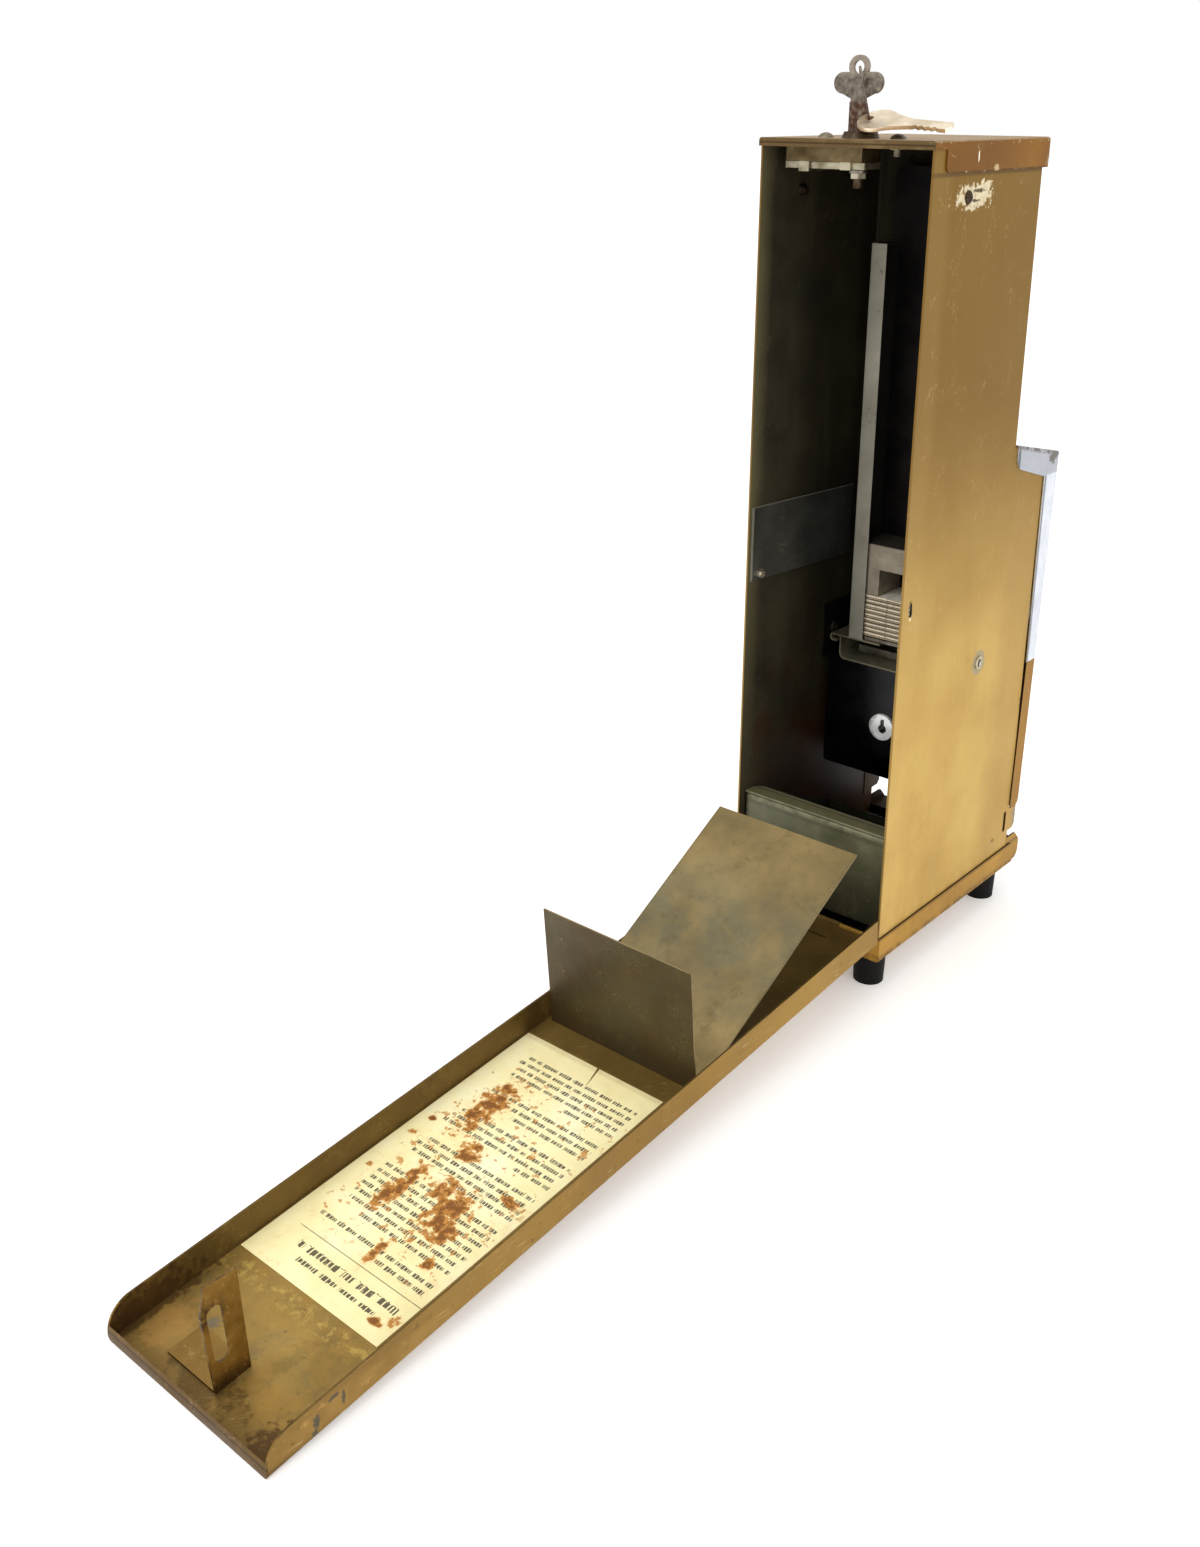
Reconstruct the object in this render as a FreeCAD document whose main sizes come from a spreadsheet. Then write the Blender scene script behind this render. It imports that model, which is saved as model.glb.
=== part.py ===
"""Counter-top stamp vending machine with its rear service door lying open.

Frame: the origin is the middle of the base's footprint on the counter, +Z is up, the customer
stands on the -Y side and the service door is on the +Y side. Lengths are in millimetres.
Depths are measured forward from the rear opening, heights up from the underside of the base.
"""
import FreeCAD
import Part
import Sketcher
import math
import os
from types import SimpleNamespace

DRIVING_SIZES = {
    # housing
    "housing_width": 100.0,
    "housing_sheet": 1.0,
    "cap_top": 444.2,
    "upper_depth": 117.2,
    "front_fold_radius": 2.5,
    "front_plate_bottom": 262.0,
    "cheek_reach": 9.0,
    "cheek_bottom": 25.6,
    "cheek_top": 41.0,
    "cheek_chamfer": 2.6,
    "side_slot_setback": 5.4,
    "side_slot_bottom": 26.8,
    "side_slot_length": 14.0,
    "side_slot_width": 3.2,
    # top cap
    "cap_sheet": 0.9,
    "cap_overhang": 6.0,
    "cap_flange": 15.3,
    "cap_rear_lip": 4.2,
    "cap_flange_start": 11.0,
    "cap_corner_radius": 4.0,
    "cap_edge_radius": 1.6,
    # base and feet
    "base_depth": 172.0,
    "base_overhang": 1.0,
    "base_sheet": 1.0,
    "base_flange": 15.3,
    "base_flange_setback": 9.0,
    "base_edge_radius": 1.6,
    "lip_depth": 18.0,
    "lip_height": 13.4,
    "lip_cheek_height": 20.0,
    "lip_radius": 6.0,
    "foot_height": 21.7,
    "foot_radius": 9.5,
    "foot_inset_x": 14.4,
    "rear_foot_depth": 15.1,
    "front_foot_setback": 22.0,
    "foot_recess_radius": 5.2,
    "foot_recess_depth": 8.0,
    "foot_screw_head_radius": 4.0,
    "foot_screw_head_height": 2.2,
    "foot_nut_radius": 3.6,
    "foot_nut_thickness": 2.4,
    "foot_screw_radius": 2.0,
    # chrome hood and lower front cover
    "hood_sheet": 0.9,
    "hood_top": 279.3,
    "hood_slope": 12.3,
    "hood_overhang": 17.0,
    "front_lean": 1.92,
    "hood_bottom": 139.0,
    "hood_strip_reach": 1.5,
    "hood_flange_height": 13.1,
    "hood_flange_slope": 16.6,
    "hood_corner_radius": 8.0,
    "cover_bottom": 41.0,
    "cover_strip": 10.6,
    "cover_end_radius": 5.0,
    "panel_gap": 0.3,
    # coin slide
    "slide_width": 58.0,
    "slide_thickness": 4.2,
    "slide_run": 20.0,
    "slide_reach": 34.0,
    "slide_clearance": 0.3,
    "escutcheon_width": 76.0,
    "escutcheon_height": 20.0,
    "escutcheon_thickness": 5.0,
    "slide_window_width": 52.0,
    "slide_window_length": 28.0,
    "large_coin_radius": 12.4,
    "small_coin_radius": 9.2,
    "coin_recess": 1.6,
    # mechanism
    "mechanism_setback": 5.2,
    "mechanism_length": 36.0,
    "shelf_top": 158.6,
    "shelf_sheet": 1.0,
    "shelf_width": 80.0,
    "tunnel_width": 66.0,
    "tunnel_bottom": 143.6,
    "tunnel_corner_radius": 4.0,
    "case_width": 80.0,
    "case_bottom": 75.0,
    "case_edge_radius": 1.5,
    "case_lock_height": 107.5,
    "case_lock_radius": 8.3,
    "bracket_bottom": 66.0,
    "bracket_ear_height": 34.0,
    "bracket_ear_length": 30.0,
    "rivet_setback": 19.2,
    "rivet_head_radius": 4.0,
    "rivet_head_thickness": 0.8,
    "rivet_tail_radius": 3.4,
    "rivet_tail_thickness": 1.2,
    "rivet_bore_radius": 1.0,
    "rivet_height": 156.1,
    # magazine
    "rail_flange": 10.0,
    "rail_outer": 27.6,
    "rail_sheet": 1.0,
    "rail_top_drop": 56.2,
    "magazine_clearance": 1.8,
    "magazine_gate": 164.4,
    "magazine_top_drop": 16.2,
    "magazine_plate_width": 62.0,
    "standoff_radius": 4.0,
    "standoff_inset": 10.0,
    "standoff_drop": 16.0,
    "standoff_rise": 12.0,
    "folder_width": 50.0,
    "folder_depth": 25.4,
    "folder_pitch": 2.88,
    "folder_gap": 0.08,
    "folder_count": 9.0,
    "blade_thickness": 1.9,
    "blade_width": 34.0,
    "blade_length": 28.0,
    "weight_height": 30.7,
    "weight_notch_width": 20.0,
    "weight_notch_height": 16.0,
    # delivery chute
    "chute_width": 52.0,
    "chute_setback": 16.0,
    "chute_curve_height": 46.0,
    "chute_toe_reach": 9.0,
    "chute_toe_drop": 22.0,
    "chute_bend_height": 104.0,
    "chute_sheet": 0.9,
    # coin box
    "cash_box_side_gap": 0.8,
    "cash_box_rear_depth": 4.5,
    "cash_box_front_depth": 100.0,
    "cash_box_bottom": 18.7,
    "cash_box_rear_top": 75.0,
    "cash_box_front_top": 36.0,
    "cash_box_sheet": 1.0,
    "cash_box_hem": 4.6,
    "runner_width": 8.4,
    # rear door, lengths measured along it from the hinge
    "hinge_height": 15.9,
    "hinge_offset": 2.6,
    "hinge_pin_radius": 1.2,
    "knuckle_radius": 2.2,
    "knuckle_gap": 0.4,
    "hinge_inset": 6.0,
    "hinge_leaf": 10.0,
    "door_leaf": 12.0,
    "hinge_leaf_thickness": 0.9,
    "door_side_gap": 1.6,
    "door_overreach": 2.7,
    "door_sheet": 1.0,
    "door_flange": 14.8,
    "door_start": 2.8,
    "door_tip_radius": 13.0,
    "door_tip_lip": 1.8,
    "door_table_gap": 0.2,
    "baffle_place": 164.0,
    "baffle_height": 69.5,
    "baffle_inset": 4.9,
    "baffle_foot": 15.0,
    "baffle_sheet": 0.9,
    "deflector_trim": 1.5,
    "deflector_edge_place": 15.0,
    "deflector_edge_height": 61.0,
    "label_start": 179.2,
    "label_length": 186.0,
    "label_inset": 2.2,
    "label_width": 90.0,
    "label_thickness": 0.2,
    "label_tear": 17.5,
    "hasp_setback": 28.2,
    "hasp_length": 17.4,
    "hasp_height": 52.4,
    "hasp_lean": 3.4,
    "hasp_corner": 13.0,
    "hasp_sheet": 1.2,
    "hasp_face": 6.4,
    "hasp_leg": 32.4,
    "hasp_slot_width": 7.2,
    "hasp_slot_length": 28.0,
    "hasp_slot_start": 13.2,
    # top lock and keys
    "lock_x": 0.6,
    "lock_depth": 15.0,
    "collar_radius": 9.5,
    "collar_height": 3.2,
    "collar_top_radius": 8.3,
    "plug_radius": 7.2,
    "plug_core_radius": 4.2,
    "tail_radius": 2.6,
    "tail_drop": 24.0,
    "lock_case_left": 42.0,
    "lock_case_right": 4.2,
    "lock_case_drop": 11.5,
    "lock_case_front_depth": 26.0,
    "lock_case_rear_depth": 9.6,
    "strap_thickness": 0.9,
    "strap_width": 66.0,
    "lock_screw_spacing": 42.0,
    "lock_screw_drop": 6.5,
    "screw_head_radius": 4.4,
    "screw_head_height": 2.6,
    "screw_shank_radius": 2.0,
    "bolt_thickness": 3.2,
    "bolt_width": 16.8,
    "bolt_length": 47.0,
    "bolt_throw": 13.0,
    "bolt_clearance": 0.3,
    "bolt_entry": 1.4,
    "keeper_thickness": 1.2,
    "keeper_width": 6.0,
    "staple_inset": 14.4,
    "plug_clearance": 0.08,
    "cam_radius": 9.2,
    "cam_disc_radius": 4.8,
    "cam_pin_radius": 1.0,
    "cam_pin_clearance": 0.5,
    "cam_thickness": 1.4,
    "key_offset": 2.6,
    "key_thickness": 2.0,
    "key_blade_width": 8.6,
    "key_neck_width": 7.6,
    "key_shoulder_rise": 17.2,
    "key_bow_rise": 26.0,
    "key_lobe_radius": 5.1,
    "key_lobe_offset": 8.8,
    "key_eye_rise": 33.4,
    "key_eye_outer": 5.6,
    "key_eye_inner": 3.1,
    "ring_wire_radius": 0.5,
    "ring_width": 6.6,
    "ring_overhang": 2.6,
    "spare_bow_radius": 10.0,
    "spare_bow_rise": 8.4,
    "spare_bow_x": -11.0,
    "spare_bow_depth": 11.2,
    "spare_hole_inset": 5.2,
    "spare_hole_radius": 2.3,
    "spare_taper_length": 9.0,
    "spare_blade_width": 7.2,
    "spare_blade_length": 31.0,
    "spare_tooth": 1.3,
    "spare_slope": 3.9,
    "spare_roll": 25.0,
    # wall plate and side screws
    "wall_plate_height": 43.0,
    "wall_plate_bottom": 205.7,
    "wall_plate_drop": 5.0,
    "wall_plate_start": 2.6,
    "wall_plate_setback": 11.2,
    "wall_screw_depth": 9.6,
    "wall_screw_height": 209.6,
    "upper_screw_depth": 36.5,
    "upper_screw_drop": 27.3,
}

doc = FreeCAD.newDocument("stamp_vending_machine")
sheet = doc.addObject("Spreadsheet::Sheet", "sizes")


class Size:
    """A length or an angle in degrees, with the sheet formula that gives it."""

    def __init__(self, value, formula):
        self.value = value
        self.formula = formula

    def __add__(self, other):
        other = as_size(other)
        return Size(self.value + other.value, f"({self.formula} + {other.formula})")

    def __sub__(self, other):
        other = as_size(other)
        return Size(self.value - other.value, f"({self.formula} - {other.formula})")

    def __mul__(self, other):
        other = as_size(other)
        return Size(self.value * other.value, f"({self.formula} * {other.formula})")

    def __truediv__(self, other):
        other = as_size(other)
        return Size(self.value / other.value, f"({self.formula} / {other.formula})")

    def __radd__(self, other):
        return as_size(other) + self

    def __rsub__(self, other):
        return as_size(other) - self

    def __rmul__(self, other):
        return as_size(other) * self

    def __neg__(self):
        return as_size(0) - self


def as_size(number):
    if isinstance(number, Size):
        return number
    return Size(float(number), f"({float(number):.6g})")


def tangent(angle):
    return Size(math.tan(math.radians(angle.value)), f"tan({angle.formula})")


def cosine(angle):
    return Size(math.cos(math.radians(angle.value)), f"cos({angle.formula})")


def sine(angle):
    return Size(math.sin(math.radians(angle.value)), f"sin({angle.formula})")


def driving_size(row, name, value):
    sheet.set(f"A{row}", name.replace("_", " "))
    sheet.set(f"B{row}", str(value))
    sheet.setAlias(f"B{row}", name)
    return Size(value, f"sizes.{name}")


S = SimpleNamespace()
for row_number, (size_name, size_value) in enumerate(DRIVING_SIZES.items(), start=1):
    setattr(S, size_name, driving_size(row_number, size_name, size_value))
doc.recompute()


def at_depth(depth):
    """The Y of a place so far forward of the rear opening."""
    return S.base_depth / 2 - depth


def at_height(height):
    """The Z of a place so far above the underside of the base."""
    return S.foot_height + height


# Sizes that follow from the driving ones
S.side_depth = S.base_depth - S.lip_depth
S.cheek_depth = S.side_depth + S.cheek_reach
S.cap_depth = S.upper_depth + S.cap_overhang
S.mechanism_front_depth = S.upper_depth - S.mechanism_setback
S.mechanism_rear_depth = S.mechanism_front_depth - S.mechanism_length
S.rivet_depth = S.mechanism_front_depth - S.rivet_setback
S.slide_rear_depth = S.mechanism_front_depth - S.slide_run
S.magazine_depth = S.mechanism_rear_depth + S.rail_sheet + S.folder_depth + S.magazine_clearance
S.wall_plate_end = S.upper_depth - S.wall_plate_setback
S.chute_depth = S.side_depth - S.chute_setback
S.side_slot_depth = S.side_depth - S.side_slot_setback
S.base_width = S.housing_width + 2 * S.base_overhang
S.base_flange_depth = S.base_depth - S.base_flange_setback
S.front_foot_depth = S.base_depth - S.front_foot_setback
S.hood_front_depth = S.side_depth + S.hood_overhang
S.hood_strip_depth = S.side_depth + S.hood_strip_reach
S.cash_box_width = S.housing_width - 2 * (S.housing_sheet + S.cash_box_side_gap)
S.door_width = S.housing_width + 2 * (S.door_side_gap + S.door_sheet)
S.door_length = S.cap_top - S.hinge_height + S.door_overreach
S.baffle_width = S.door_width - 2 * S.baffle_inset
S.deflector_width = S.baffle_width - 2 * S.deflector_trim
S.label_left = S.door_width / 2 - S.label_inset
S.hinge_length = S.housing_width - 2 * S.hinge_inset
S.hasp_start = S.door_length - S.hasp_setback
S.rail_top = S.cap_top - S.rail_top_drop
S.magazine_top = S.cap_top - S.magazine_top_drop
S.lock_case_bottom = S.cap_top - S.lock_case_drop
S.tail_bottom = S.cap_top - S.tail_drop
S.key_shoulder = S.cap_top + S.key_shoulder_rise
S.key_bow_height = S.cap_top + S.key_bow_rise
S.key_eye_height = S.cap_top + S.key_eye_rise
S.spare_bow_height = S.cap_top + S.spare_bow_rise
S.upper_screw_height = S.cap_top - S.upper_screw_drop
HALF_WIDTH = S.housing_width / 2
INNER_HALF = HALF_WIDTH - S.housing_sheet
CAP_UNDERSIDE = S.cap_top - S.cap_sheet
HOUSING_TOP = S.cap_top - S.cap_edge_radius
FLOOR_TOP = S.base_sheet
CAM_REST_ANGLE = Size(45, "45")


def hood_top_at(depth):
    """Height of the hood's sloping top at a depth."""
    return S.hood_top - (depth - S.upper_depth) * tangent(S.hood_slope)


def front_depth_at(height):
    """Depth of the leaning front face at a height."""
    return S.hood_front_depth - (hood_top_at(S.hood_front_depth) - height) * tangent(S.front_lean)


# ---------------------------------------------------------------- helpers


def bind(item, path, size):
    item.setExpression(path, as_size(size).formula)


def new_body(label):
    body = doc.addObject("PartDesign::Body", label)
    body.Label = label
    return body


def origin_plane(body, role):
    return next(plane for plane in body.Origin.OriginFeatures if plane.Role == role)


def new_sketch(body, role, offset=0):
    """A sketch on one of the body's own origin planes, moved along its normal."""
    sketch = body.newObject("Sketcher::SketchObject", "Profile")
    sketch.AttachmentSupport = [(origin_plane(body, role), "")]
    sketch.MapMode = "FlatFace"
    offset = as_size(offset)
    sketch.AttachmentOffset = FreeCAD.Placement(FreeCAD.Vector(0, 0, offset.value), FreeCAD.Rotation())
    bind(sketch, "AttachmentOffset.Base.z", offset)
    return sketch


def pin_point(sketch, geometry, point, place):
    """Bind one point of a sketch's geometry to the sheet."""
    for kind, coordinate in zip(("DistanceX", "DistanceY"), place):
        size = as_size(coordinate)
        index = sketch.addConstraint(Sketcher.Constraint(kind, -1, 1, geometry, point, size.value))
        bind(sketch, f"Constraints[{index}]", size)


def flat(place):
    return FreeCAD.Vector(as_size(place[0]).value, as_size(place[1]).value, 0)


def add_outline(sketch, corners):
    """A closed outline of straight sides."""
    first = sketch.GeometryCount
    for start, end in zip(corners, corners[1:] + corners[:1]):
        sketch.addGeometry(Part.LineSegment(flat(start), flat(end)), False)
    count = len(corners)
    for number in range(count):
        following = first + (number + 1) % count
        sketch.addConstraint(Sketcher.Constraint("Coincident", first + number, 2, following, 1))
    for number, corner in enumerate(corners):
        pin_point(sketch, first + number, 1, corner)
    return sketch


def add_circle(sketch, centre, radius):
    circle = Part.Circle(flat(centre), FreeCAD.Vector(0, 0, 1), as_size(radius).value)
    geometry = sketch.addGeometry(circle, False)
    pin_point(sketch, geometry, 3, centre)
    index = sketch.addConstraint(Sketcher.Constraint("Radius", geometry, as_size(radius).value))
    bind(sketch, f"Constraints[{index}]", radius)
    return sketch


def add_slot(sketch, centre, length, width):
    """An upright slot with round ends."""
    radius = as_size(width) / 2
    reach = as_size(length) / 2 - radius
    across = as_size(centre[0])
    top = as_size(centre[1]) + reach
    bottom = as_size(centre[1]) - reach
    upward = FreeCAD.Vector(0, 0, 1)
    arcs = []
    for middle, start in ((top, 0.0), (bottom, math.pi)):
        circle = Part.Circle(flat((across, middle)), upward, radius.value)
        arcs.append(sketch.addGeometry(Part.ArcOfCircle(circle, start, start + math.pi), False))
    left = sketch.addGeometry(
        Part.LineSegment(flat((across - radius, top)), flat((across - radius, bottom))), False)
    right = sketch.addGeometry(
        Part.LineSegment(flat((across + radius, bottom)), flat((across + radius, top))), False)
    joints = ((arcs[0], 2, left, 1), (left, 2, arcs[1], 1), (arcs[1], 2, right, 1), (right, 2, arcs[0], 1))
    for joint in joints:
        sketch.addConstraint(Sketcher.Constraint("Tangent", *joint))
    pin_point(sketch, arcs[0], 3, (across, top))
    index = sketch.addConstraint(Sketcher.Constraint("DistanceY", -1, 1, arcs[1], 3, bottom.value))
    bind(sketch, f"Constraints[{index}]", bottom)
    index = sketch.addConstraint(Sketcher.Constraint("Radius", arcs[0], radius.value))
    bind(sketch, f"Constraints[{index}]", radius)
    return sketch


def outline_sketch(body, role, corners, offset=0):
    return add_outline(new_sketch(body, role, offset), corners)


def pad(body, sketch, length, side="One side", reverse=False):
    feature = body.newObject("PartDesign::Pad", "Pad")
    feature.Profile = sketch
    feature.SideType = side
    feature.Reversed = reverse
    bind(feature, "Length", length)
    doc.recompute()
    return feature


def pocket(body, sketch, length, side="One side", reverse=False):
    feature = body.newObject("PartDesign::Pocket", "Pocket")
    feature.Profile = sketch
    feature.SideType = side
    feature.Reversed = reverse
    bind(feature, "Length", length)
    before = body.Shape.Volume
    doc.recompute()
    if feature.Shape.Volume > before - 1e-6:
        raise RuntimeError(f"{body.Label}: a pocket cut nothing")
    return feature


def edge_names(shape, axis, places):
    """Names of the straight edges along an axis that pass through the given places."""
    others = [number for number in range(3) if number != axis]
    wanted = [tuple(as_size(value).value for value in place) for place in places]
    names = []
    for number, edge in enumerate(shape.Edges, start=1):
        start = edge.Vertexes[0].Point
        end = edge.Vertexes[-1].Point
        if abs(start[axis] - end[axis]) < 1e-3:
            continue
        if max(abs(start[other] - end[other]) for other in others) > 1e-4:
            continue
        for place in wanted:
            if max(abs(start[other] - value) for other, value in zip(others, place)) < 1e-3:
                names.append(f"Edge{number}")
    return names


def round_edges(body, axis, places, radius):
    """Round the edges along an axis (0, 1 or 2) at the given places in the other two."""
    tip = body.Tip
    names = edge_names(tip.Shape, axis, places)
    if not names:
        raise RuntimeError(f"{body.Label}: no edge to round")
    feature = body.newObject("PartDesign::Fillet", "Fillet")
    feature.Base = (tip, names)
    bind(feature, "Radius", radius)
    doc.recompute()
    return feature


def hollow(body, thickness, open_faces):
    """Turn the body into a shell of a thickness, open where the test says so."""
    tip = body.Tip
    names = [f"Face{number}" for number, face in enumerate(tip.Shape.Faces, start=1) if open_faces(face)]
    feature = body.newObject("PartDesign::Thickness", "Shell")
    feature.Base = (tip, names)
    feature.Reversed = True
    feature.Join = "Intersection"
    bind(feature, "Value", thickness)
    doc.recompute()
    return feature


def faces_towards(direction, reach):
    """A test for flat faces that look along a direction and lie so far along it."""
    def test(face):
        normal = face.normalAt(0, 0)
        along = face.CenterOfMass.dot(direction)
        return normal.dot(direction) > 0.999 and abs(along - as_size(reach).value) < 0.01
    return test


UP = FreeCAD.Vector(0, 0, 1)
DOWN = FreeCAD.Vector(0, 0, -1)
FORWARD = FreeCAD.Vector(0, -1, 0)
REARWARD = FreeCAD.Vector(0, 1, 0)
LEFTWARD = FreeCAD.Vector(1, 0, 0)


def box(label, x_range, y_range, z_range):
    """A block between two limits on each axis."""
    item = doc.addObject("Part::Box", label)
    item.Label = label
    for side, letter, (low, high) in zip(("Length", "Width", "Height"), "xyz", (x_range, y_range, z_range)):
        bind(item, side, as_size(high) - low)
        bind(item, f"Placement.Base.{letter}", low)
    return item


def cylinder(label, start, length, radius, direction=UP):
    """A round bar from a point along a direction."""
    item = doc.addObject("Part::Cylinder", label)
    item.Label = label
    item.Placement = FreeCAD.Placement(FreeCAD.Vector(), FreeCAD.Rotation(UP, direction))
    bind(item, "Radius", radius)
    bind(item, "Height", length)
    for letter, value in zip("xyz", start):
        bind(item, f"Placement.Base.{letter}", value)
    return item


def dome(label, base, radius, height, direction=UP):
    """The domed head of a screw: a cap of a sphere standing on a flat base."""
    radius = as_size(radius)
    height = as_size(height)
    ball = (radius * radius + height * height) / (2 * height)
    item = doc.addObject("Part::Sphere", f"{label}_ball")
    bind(item, "Radius", ball)
    turn = FreeCAD.Rotation(UP, direction)
    item.Placement = FreeCAD.Placement(FreeCAD.Vector(), turn)
    for letter, value, part in zip("xyz", base, direction):
        bind(item, f"Placement.Base.{letter}", value - part * (ball - height))
    keep = cylinder(f"{label}_cap", base, height, radius, direction)
    return common(label, item, keep)


def fused(label, *items):
    item = doc.addObject("Part::MultiFuse", label)
    item.Label = label
    item.Shapes = list(items)
    return item


def cut(label, base, tool):
    item = doc.addObject("Part::Cut", label)
    item.Label = label
    item.Base = base
    item.Tool = tool
    return item


def common(label, first, second):
    item = doc.addObject("Part::MultiCommon", label)
    item.Label = label
    item.Shapes = [first, second]
    return item


def group(label, *items):
    """Separate solids kept in one node."""
    item = doc.addObject("Part::Compound", label)
    item.Label = label
    item.Links = list(items)
    return item


def bent_sheet(label, path, thickness, width):
    """A strip of sheet bent along a path in the YZ plane, centred on the middle of the machine.

    The thickness lies on the right of the path as it is followed.
    """
    sketch = doc.addObject("Sketcher::SketchObject", f"{label}_path")
    sketch.Placement = FreeCAD.Placement(FreeCAD.Vector(), FreeCAD.Rotation(FreeCAD.Vector(1, 1, 1), 120))
    for start, end in zip(path, path[1:]):
        sketch.addGeometry(Part.LineSegment(flat(start), flat(end)), False)
    for number in range(len(path) - 2):
        sketch.addConstraint(Sketcher.Constraint("Coincident", number, 2, number + 1, 1))
    for number, corner in enumerate(path[:-1]):
        pin_point(sketch, number, 1, corner)
    pin_point(sketch, len(path) - 2, 2, path[-1])
    section = doc.addObject("Part::Offset2D", f"{label}_section")
    section.Source = sketch
    section.Mode = "Skin"
    section.Join = "Arc"
    section.Fill = True
    bind(section, "Value", thickness)
    item = doc.addObject("Part::Extrusion", label)
    item.Label = label
    item.Base = section
    item.DirMode = "Custom"
    item.Dir = LEFTWARD
    item.Symmetric = True
    item.Solid = True
    bind(item, "LengthFwd", width)
    doc.recompute()
    return item


# ---------------------------------------------------------------- housing


def make_housing_shell():
    """Both side panels and the upper front, folded from one sheet with a stepped profile."""
    body = new_body("housing_shell")
    under_hood = S.hood_sheet / cosine(S.hood_slope)
    notch_top = S.base_flange + S.panel_gap
    outer = [
        (at_depth(S.base_sheet), at_height(FLOOR_TOP)),
        (at_depth(S.base_sheet), at_height(notch_top)),
        (at_depth(0), at_height(notch_top)),
        (at_depth(0), at_height(HOUSING_TOP)),
        (at_depth(S.upper_depth), at_height(HOUSING_TOP)),
        (at_depth(S.upper_depth), at_height(hood_top_at(S.upper_depth) - under_hood)),
        (at_depth(S.side_depth), at_height(hood_top_at(S.side_depth) - under_hood)),
        (at_depth(S.side_depth), at_height(S.cheek_top)),
        (at_depth(S.cheek_depth), at_height(S.cheek_top)),
        (at_depth(S.cheek_depth), at_height(S.cheek_bottom + S.cheek_chamfer)),
        (at_depth(S.cheek_depth - S.cheek_chamfer), at_height(S.cheek_bottom)),
        (at_depth(S.side_depth), at_height(S.cheek_bottom)),
        (at_depth(S.side_depth), at_height(FLOOR_TOP)),
    ]
    pad(body, outline_sketch(body, "YZ_Plane", outer), S.housing_width, "Symmetric")
    fold = at_depth(S.upper_depth)
    round_edges(body, 2, [(HALF_WIDTH, fold), (-HALF_WIDTH, fold)], S.front_fold_radius)
    inner_front = S.upper_depth - S.housing_sheet
    above = CAP_UNDERSIDE + S.cap_flange
    inner = [
        (at_depth(-S.housing_sheet), at_height(0)),
        (at_depth(-S.housing_sheet), at_height(above)),
        (at_depth(inner_front), at_height(above)),
        (at_depth(inner_front), at_height(S.front_plate_bottom)),
        (at_depth(S.upper_depth), at_height(S.front_plate_bottom)),
        (at_depth(S.upper_depth), at_height(S.hood_top + S.hood_sheet)),
        (at_depth(S.base_depth), at_height(S.hood_top + S.hood_sheet)),
        (at_depth(S.base_depth), at_height(0)),
    ]
    pocket(body, outline_sketch(body, "YZ_Plane", inner), 2 * INNER_HALF, "Symmetric")
    inner_fold = at_depth(inner_front)
    round_edges(body, 2, [(INNER_HALF, inner_fold), (-INNER_HALF, inner_fold)],
                S.front_fold_radius - S.housing_sheet)
    slots = new_sketch(body, "YZ_Plane")
    slot_middle = S.side_slot_bottom + S.side_slot_length / 2
    add_slot(slots, (at_depth(S.side_slot_depth), at_height(slot_middle)),
             S.side_slot_length, S.side_slot_width)
    upper_place = (at_depth(S.upper_screw_depth), at_height(S.upper_screw_height))
    add_circle(slots, upper_place, S.screw_shank_radius)
    add_circle(slots, (at_depth(S.rivet_depth), at_height(S.rivet_height)), S.screw_shank_radius)
    pocket(body, slots, S.housing_width * 2, "Symmetric")
    missing_screw = new_sketch(body, "YZ_Plane")
    add_slot(missing_screw, (at_depth(S.wall_screw_depth - 1), at_height(S.wall_screw_height)), 9, 3)
    pocket(body, missing_screw, S.housing_width)
    screw_hole = new_sketch(body, "YZ_Plane")
    add_circle(screw_hole, (at_depth(S.wall_screw_depth), at_height(S.wall_screw_height)), 1.6)
    pocket(body, screw_hole, S.housing_width, reverse=True)
    return body


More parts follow.
